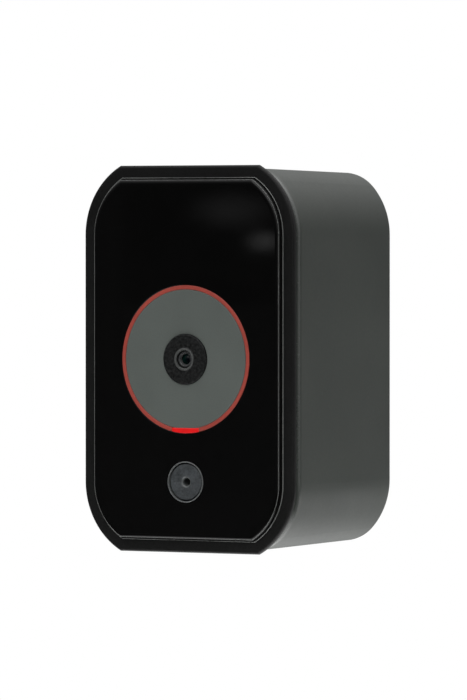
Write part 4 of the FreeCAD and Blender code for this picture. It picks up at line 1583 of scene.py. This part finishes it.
@dataclass
class RingLight:
    """The thin red ring, its bright segment at six o'clock and the grey disc inside it.

    Attributes:
        section: Radius, depth and corner radius of the ring's section, in millimetres.
        gap: Half the width of the ring's gap for the segment.
        slack: What the ring's ends and the segment's each stay clear of that.
        chord: How far below the middle the segment's straight inner edge lies.
        outer: The segment's outer radius.
        plate: The grey disc's radius.
        hole: The disc's bore.
        front: The depth of the face.
        rear: The depth of the disc's back.
    """

    section: Section = (
        (17.5, 55.6, 0.0),
        (22.2, 55.6, 0.3),
        (22.2, 59.35, 0.2),
        (20.6, 59.35, 0.0),
        (20.6, 61.6, 0.16),
        (19.5, 61.6, 0.16),
        (19.5, 59.2, 0.0),
        (17.5, 59.2, 0.0),
    )
    gap: float = 4.3 * MM
    slack: float = 0.03 * MM
    chord: float = 19.15 * MM
    outer: float = 20.6 * MM
    plate: float = 19.42 * MM
    hole: float = 7.05 * MM
    front: float = 61.6 * MM
    rear: float = 59.2 * MM

    def ring(self) -> bpy.types.Object:
        """The ring with a gap below.

        A section point at radius r starts where x is half the gap, at the angle from straight down
        whose sine is gap / r, and goes round to the same angle on the other side.

        Returns:
            The ring.
        """
        section = rounded_path(self.section) * MM
        radius, depth = section[:, 0:1], section[:, 1:2]
        start = np.arcsin((self.gap + self.slack) / radius)
        share = np.linspace(0.0, 1.0, 181)
        angle = start + share * (2.0 * math.pi - 2.0 * start)
        outward = np.broadcast_to(-depth, angle.shape)
        grid = np.stack((radius * np.sin(angle), outward, -radius * np.cos(angle)), axis=-1)
        surface = Surface("red_ring").sheet(grid, along=True)
        for end in (grid[:, 0], grid[:, -1]):
            middle = np.broadcast_to(end.mean(axis=0), end.shape)
            surface.sheet(np.stack((end, middle), axis=1), along=True)
        return surface.build(Body.CASE)

    def segment(self) -> bpy.types.Object:
        """The bright segment: straight inside, on the ring's arc outside, and softly raised.

        Across by u and down by v, both from -1 to 1, x is half the gap times u, z runs from the
        chord to the arc, and the face drops at its edges with high powers of u and v.

        Returns:
            The segment.
        """
        u, v = np.meshgrid(np.linspace(-1.0, 1.0, 41), np.linspace(-1.0, 1.0, 13))
        x = (self.gap - self.slack) * u
        low, high = self.chord + 0.02 * MM, np.sqrt(self.outer**2 - x**2)
        z = -(low + (high - low) * (v + 1.0) / 2.0)
        face = self.front - 0.1 * MM * np.maximum(np.abs(u) ** 24, np.abs(v) ** 8)
        front = np.stack((x, -face, z), axis=-1)
        back = np.stack((x, np.full_like(x, -self.rear), z), axis=-1)
        surface = Surface("status_bar").sheet(front).sheet(back)
        for edge in (0, -1):
            surface.sheet(np.stack((front[edge], back[edge])))
            surface.sheet(np.stack((front[:, edge], back[:, edge])))
        return surface.build(Body.CASE)

    def disc(self) -> bpy.types.Object:
        """The grey disc, cut straight over the segment.

        At the angle a from straight down its edge is at its radius or chord / cos a, if smaller.

        Returns:
            The disc.
        """
        angle = np.linspace(0.0, 2.0 * math.pi, 241)[:-1]
        down = np.maximum(np.cos(angle), 1e-6)
        edge = np.minimum(self.plate, self.chord / down)
        bore = ((0.0, self.rear), (0.0, self.front - 0.1 * MM), (0.1 * MM, self.front))
        inner = [(np.full_like(edge, self.hole + more), depth) for more, depth in bore]
        shares = (0.03, 0.25, 0.5, 0.75, 0.97)
        flat = [(self.hole + (edge - self.hole) * share, self.front) for share in shares]
        rim = [(edge - 0.12 * MM, self.front), (edge, self.front - 0.12 * MM), (edge, self.rear)]
        rows = (*inner, *flat, *rim)
        radius = np.stack([row[0] for row in rows])
        depth = np.broadcast_to(np.array([row[1] for row in rows])[:, None], radius.shape)
        grid = np.stack((radius * np.sin(angle), -depth, -radius * np.cos(angle)), axis=-1)
        return Surface("grey_disc").sheet(grid, around=True, along=True).build(Body.CASE)

    def dress(self) -> List[bpy.types.Object]:
        """Makes the three pieces and gives each its finish.

        Returns:
            The pieces.
        """
        return dressed(
            (self.ring(), Finishes.ring, "light_ring", "ring_red"),
            (self.segment(), Finishes.status, "status_light", "status_red"),
            (self.disc(), Finishes.plate, "camera_plate", "plate_grey"),
        )


@dataclass
class CameraNose:
    """The textured nose with its raised lip, and the lens that looks out of it.

    Attributes:
        nose: Radius, depth and corner radius of the nose's section, in millimetres.
        barrel: The same for the lens barrel.
        lens: The front lens's radius, the depth of its rim and of its back, and how far it bulges,
            in millimetres.
        texture: The texture on the flat between the nose's rim and its lip.
    """

    nose: Section = (
        (6.35, 55.8, 0.0),
        (9.0, 55.8, 0.2),
        (9.0, 59.15, 0.1),
        (6.98, 59.15, 0.0),
        (6.98, 62.1, 0.35),
        (6.2, 62.1, 0.0),
        (5.4, 62.1, 0.0),
        (4.6, 62.1, 0.0),
        (3.9, 62.1, 0.0),
        (3.3, 62.1, 0.12),
        (3.05, 62.5, 0.16),
        (2.62, 62.5, 0.12),
        (2.38, 61.7, 0.0),
        (2.38, 60.1, 0.0),
        (6.35, 57.4, 0.0),
    )
    barrel: Section = (
        (4.65, 47.0, 0.0),
        (6.0, 47.0, 0.3),
        (6.0, 57.2, 0.3),
        (2.2, 59.9, 0.0),
        (2.2, 61.75, 0.12),
        (1.8, 61.75, 0.1),
        (1.42, 61.2, 0.0),
        (1.42, 60.3, 0.0),
        (1.05, 60.3, 0.0),
        (1.05, 59.3, 0.0),
        (3.4, 56.6, 0.0),
        (4.65, 56.6, 0.0),
    )
    lens: Tuple[float, ...] = (1.38, 60.75, 60.35, 0.5)
    texture: Eroded = Eroded(0.045 * MM, 0.95 * MM, 3.35 * MM, 6.75 * MM, seed=11)

    def nose_mesh(self) -> bpy.types.Object:
        """Turns the nose, then raises the texture on its flat.

        Returns:
            The nose.
        """
        flat_depth, lip_radius = 62.0 * MM, 3.2 * MM
        fine = refined(
            rounded_path(self.nose) * MM,
            0.16 * MM,
            lambda a, b: min(a[1], b[1]) > flat_depth and min(a[0], b[0]) > lip_radius,
        )
        grid = turn(fine, (0.0, 0.0), Axis.FACE, 200)
        at_front = grid[..., 1] < -62.05 * MM
        grid[..., 1] -= np.where(at_front, self.texture.relief(grid[..., 0], grid[..., 2]), 0.0)
        return Surface("camera_nose").sheet(grid, around=True, along=True).build(Body.CASE)

    def barrel_mesh(self) -> bpy.types.Object:
        """Turns the barrel."""
        grid = turn(rounded_path(self.barrel) * MM, (0.0, 0.0), Axis.FACE, 96)
        return Surface("lens_tube").sheet(grid, around=True, along=True).build(Body.CASE)

    def lens_mesh(self) -> bpy.types.Object:
        """Turns the front lens: a dome whose height falls with the square of the radius.

        Returns:
            The lens.
        """
        radius, rim, back, bulge = (value * MM for value in self.lens)
        share = np.linspace(0.0, 1.0, 13)
        dome = np.stack((radius * share, rim + bulge * (1.0 - share**2)), axis=-1)
        profile = np.concatenate((dome, ((radius, back), (0.0, back))))
        grid = turn(profile, (0.0, 0.0), Axis.FACE, 64)
        return Surface("lens_dome").sheet(grid, around=True).build(Body.CASE)

    def dress(self) -> List[bpy.types.Object]:
        """Makes the three pieces and gives each its finish.

        Returns:
            The pieces.
        """
        return dressed(
            (self.nose_mesh(), Finishes.nose, "lens_nose", "nose_black"),
            (self.barrel_mesh(), Finishes.barrel, "lens_barrel", "barrel_black"),
            (self.lens_mesh(), Finishes.lens, "front_lens", "lens_glass"),
        )


@dataclass
class CallButton:
    """The call button: a thin satin rim, a sprung cap with a sound hole and the dome behind it.

    Attributes:
        height: The height of its axis.
        rim: Radius, depth and corner radius of the rim's section, in millimetres.
        cap: The same for the cap.
        dome: The same for the silicone dome behind the cap.
        bend: The depths between which the dome goes over from the board to the cap, in metres; not
            used.
        texture: The texture on the cap's face.
        dish: How deep the cap's face is dished, and at which radius that ends, in metres.
    """

    height: float = -34.2 * MM
    rim: Section = (
        (5.46, 57.4, 0.0),
        (7.4, 57.4, 0.2),
        (7.4, 59.35, 0.0),
        (5.72, 59.35, 0.0),
        (5.72, 61.75, 0.12),
        (5.46, 61.75, 0.12),
    )
    cap: Section = (
        (1.15, 56.5, 0.0),
        (6.3, 56.5, 0.2),
        (6.3, 57.3, 0.15),
        (5.08, 57.3, 0.0),
        (5.08, 61.4, 0.35),
        (1.6, 61.4, 0.2),
        (1.15, 60.9, 0.1),
    )
    dome: Section = (
        (4.9, 53.8, 0.0),
        (7.6, 53.8, 0.15),
        (7.6, 54.6, 0.2),
        (5.3, 54.6, 0.2),
        (3.7, 56.48, 0.3),
        (1.3, 56.48, 0.15),
        (1.3, 55.7, 0.15),
        (3.3, 55.7, 0.2),
    )
    bend: Pair = (54.15 * MM, 56.45 * MM)
    texture: Eroded = Eroded(0.035 * MM, 0.8 * MM, 1.7 * MM, 4.75 * MM, seed=23)
    dish: Pair = (0.12 * MM, 5.0 * MM)

    def rim_mesh(self) -> bpy.types.Object:
        """Turns the rim."""
        grid = turn(rounded_path(self.rim) * MM, (0.0, self.height), Axis.FACE, 120)
        return Surface("button_rim").sheet(grid, around=True, along=True).build(Body.CASE)

    def cap_mesh(self) -> bpy.types.Object:
        """Turns the cap, dishes its face a little and raises the texture on it.

        The dish's depth falls with the square of the radius.

        Returns:
            The cap.
        """
        face = 61.2 * MM
        fine = refined(rounded_path(self.cap) * MM, 0.14 * MM, lambda a, b: min(a[1], b[1]) > face)
        grid = turn(fine, (0.0, self.height), Axis.FACE, 180)
        across, up = grid[..., 0], grid[..., 2] - self.height
        deep, reach = self.dish
        dish = deep * (1.0 - (np.hypot(across, up) / reach) ** 2)
        on_face = grid[..., 1] < -face
        grid[..., 1] += np.where(on_face, dish - self.texture.relief(across, up), 0.0)
        return Surface("button_face").sheet(grid, around=True, along=True).build(Body.BUTTON)

    def dome_mesh(self) -> bpy.types.Object:
        """Turns the dome, whose foot stays on the board; it rides on no body.

        Returns:
            The dome.
        """
        fine = refined(rounded_path(self.dome) * MM, 0.25 * MM, lambda a, b: a[1] != b[1])
        grid = turn(fine, (0.0, self.height), Axis.FACE, 72)
        piece = Surface("dome_skin").sheet(grid, around=True, along=True).build(None)
        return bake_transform(piece)

    def dress(self) -> List[bpy.types.Object]:
        """Makes the three pieces and gives each its finish.

        Returns:
            The pieces.
        """
        return dressed(
            (self.rim_mesh(), Finishes.guide, "button_guide", "rim_bright"),
            (self.cap_mesh(), Finishes.cap, "button_cap", "cap_grey"),
            (self.dome_mesh(), Finishes.silicone, "button_dome", "dome_clear"),
        )


# ------------------------------------------------------------------ screws


class Drive(Enum):
    """The recess in a screw's head."""

    CROSS = "cross"
    STAR = "star"
    COMBI = "cross and slot"


@dataclass(frozen=True)
class Screw:
    """A pan-head screw with a drive recess and a real thread.

    Attributes:
        place: For the face axis its x and z, for the upright one its x and depth.
        seat: Where the underside of the head lies along the axis.
        tip: Where the shank ends along the axis.
        radius: The thread's outer radius.
        head: The head's radius.
        high: The head's height.
        pitch: The thread's pitch.
        drive: The recess.
        axis: The way from head to tip.
    """

    place: Pair
    seat: float
    tip: float
    radius: float
    head: float
    high: float
    pitch: float = 0.5 * MM
    drive: Drive = Drive.CROSS
    axis: Axis = Axis.FACE

    def recess(self, x: np.ndarray, y: np.ndarray) -> np.ndarray:
        """How deep the drive goes at each point of the head, as a share from 0 to 1.

        The cross is where the smaller of |x| and |y| is under about an eighth of the head's radius
        and the larger under just over half of it. The star is inside a circle whose radius swings
        six times round. The slot of the combined drive runs right across.

        Args:
            x: Positions across the head, in metres.
            y: Positions along it, in metres.

        Returns:
            The share at each position.
        """
        across, along = np.minimum(np.abs(x), np.abs(y)), np.maximum(np.abs(x), np.abs(y))
        radius, angle = np.hypot(x, y), np.arctan2(y, x)
        cross = np.maximum(across - 0.13 * self.head, along - 0.55 * self.head)
        if self.drive is Drive.STAR:
            inside = radius - self.head * (0.42 + 0.07 * np.cos(6.0 * angle))
        elif self.drive is Drive.COMBI:
            inside = np.minimum(cross, np.abs(y) - 0.13 * self.head)
        else:
            inside = cross
        return np.clip(0.5 - inside / (0.08 * self.head), 0.0, 1.0)

    def grids(self) -> Tuple[np.ndarray, np.ndarray]:
        """The head and the shank.

        The head's top is a shallow dome less the recess. The thread's radius falls from its crest
        by a triangle wave of (distance / pitch - turn), and the last 0.8 mm taper to the tip.

        Returns:
            The head's grid and the shank's, about the screw's own axis with the head down.
        """
        steps = 72
        angle = np.linspace(0.0, 2.0 * math.pi, steps + 1)[:-1]
        share = np.linspace(0.0, 1.0, 31)[:, None]
        x, y = self.head * share * np.cos(angle), self.head * share * np.sin(angle)
        dome = self.high * (1.0 - 0.45 * share**4)
        top = np.stack((x, y, self.recess(x, y) * self.high * 0.55 - dome), axis=-1)
        collar = np.array(((self.head, -0.35 * self.high), (self.head, -0.08 * self.high)))
        under = np.concatenate((collar, ((self.head * 0.96, 0.0), (self.radius * 0.8, 0.0))))
        out, level = under[:, 0:1], np.repeat(under[:, 1:2], steps, axis=1)
        ring = np.stack((out * np.cos(angle), out * np.sin(angle), level), axis=-1)
        length = abs(self.tip - self.seat)
        rows = max(20, int(length / self.pitch * 8))
        along = np.linspace(0.0, length, rows)[:, None]
        wave = (along / self.pitch - angle / (2.0 * math.pi)) % 1.0
        crest = self.radius * (1.0 - 0.22 * np.abs(2.0 * wave - 1.0))
        taper = np.clip((length - along) / (0.8 * MM), 0.0, 1.0)
        bore = (crest * (0.35 + 0.65 * taper)) * np.where(along >= length, 0.0, 1.0)
        bore[0] = self.radius * 0.8
        level = along * np.ones(steps)
        shank = np.stack((bore * np.cos(angle), bore * np.sin(angle), level), axis=-1)
        return np.concatenate((top, ring)), shank

    def placed(self, grid: np.ndarray) -> np.ndarray:
        """Moves a grid from the screw's own axis, head down, to its place in the doorbell.

        Args:
            grid: The grid of points.

        Returns:
            The moved grid.
        """
        x, y, along = grid[..., 0], grid[..., 1], grid[..., 2] + self.seat
        if self.axis is Axis.FACE:
            return np.stack((self.place[0] + x, -along, self.place[1] + y), axis=-1)
        return np.stack((self.place[0] + x, -self.place[1] + y, along), axis=-1)


@dataclass
class ScrewSet:
    """Screws that stand for one node of the frame.

    Attributes:
        name: The piece's name.
        node: The node that it stands for.
        slot: The record's slot.
        finish: The screws' finish.
        screws: Each screw.
    """

    name: str
    node: str
    slot: str
    finish: Finish
    screws: Sequence[Screw]

    def dress(self) -> List[bpy.types.Object]:
        """Makes every screw of the set in one mesh and gives it its finish.

        Returns:
            The one piece.
        """
        surface = Surface(self.name)
        for screw in self.screws:
            for grid in screw.grids():
                surface.sheet(screw.placed(grid), around=True)
        piece = surface.build(Body.CASE, crease=38.0)
        return dressed((piece, self.finish, self.node, self.slot))


def alike(places: Iterable[Pair], *sizes: float, **kind: Union[Drive, Axis]) -> List[Screw]:
    """Screws of one size.

    Args:
        places: Where each stands, in metres.
        *sizes: Seat, tip, radius, head, high and pitch as Screw has them, in millimetres.
        **kind: The drive and the axis where they aren't the usual ones.

    Returns:
        The screws.
    """
    return [Screw(place, *(size * MM for size in sizes), **kind) for place in places]


def screw_sets() -> List[ScrewSet]:
    """Every set of screws in the doorbell, with the sizes of the frame's own.

    Returns:
        The sets.
    """
    plain, dark = Finishes.screw, Finishes.dark_screw
    case = alike(at_corners(22.5, 27.0), 7.0, 21.0, 1.25, 2.9, 1.8, 0.8)
    bezel = alike(at_corners(24.0, 40.0), 44.0, 52.5, 1.0, 2.2, 1.5, 0.6)
    board = alike(at_corners(15.5, 36.0), 34.0, 40.5, 1.0, 1.9, 1.3, 0.6)
    camera = alike([(-12.2 * MM, 0.0), (12.2 * MM, 0.0)], 42.8, 45.9, 1.0, 1.9, 1.3)
    clamps = [(-10.0 * MM, -20.0 * MM), (10.0 * MM, -20.0 * MM)]
    terminal = alike(clamps, 6.2, 11.5, 1.4, 3.4, 1.8, drive=Drive.COMBI)
    below = [(0.0, 4.4 * MM)]
    lock = alike(below, -50.4, -44.5, 1.25, 2.5, 1.5, drive=Drive.STAR, axis=Axis.UP)
    return [
        ScrewSet("case_pan_screws", "case_screws", "screw_zinc", plain, case),
        ScrewSet("bezel_pan_screws", "bezel_screws", "screw_zinc", plain, bezel),
        ScrewSet("board_pan_screws", "board_screws", "screw_zinc", plain, board),
        ScrewSet("camera_pan_screws", "camera_screws", "screw_zinc", plain, camera),
        ScrewSet("terminal_pan_screws", "terminal_screws", "screw_zinc", plain, terminal),
        ScrewSet("lock_screw", "security_screw", "screw_black", dark, lock),
    ]


def dress_nodes() -> None:
    """Gives every node of the frame its finish."""
    for name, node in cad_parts.items():
        node.data.materials.clear()
        node.data.materials.append(NODE_FINISHES[name].material())


def main() -> None:
    """Builds the doorbell's looks and the studio round it."""
    logging.basicConfig(level=logging.INFO, format="%(message)s")
    dress_nodes()
    for part in (FrontBezel(), GlassFace(), RingLight(), CameraNose(), CallButton(), *screw_sets()):
        for piece in part.dress():
            LOG.info("%s: %d faces", piece.name, len(piece.data.polygons))
    Studio().build()


if __name__ == "__main__":
    main()
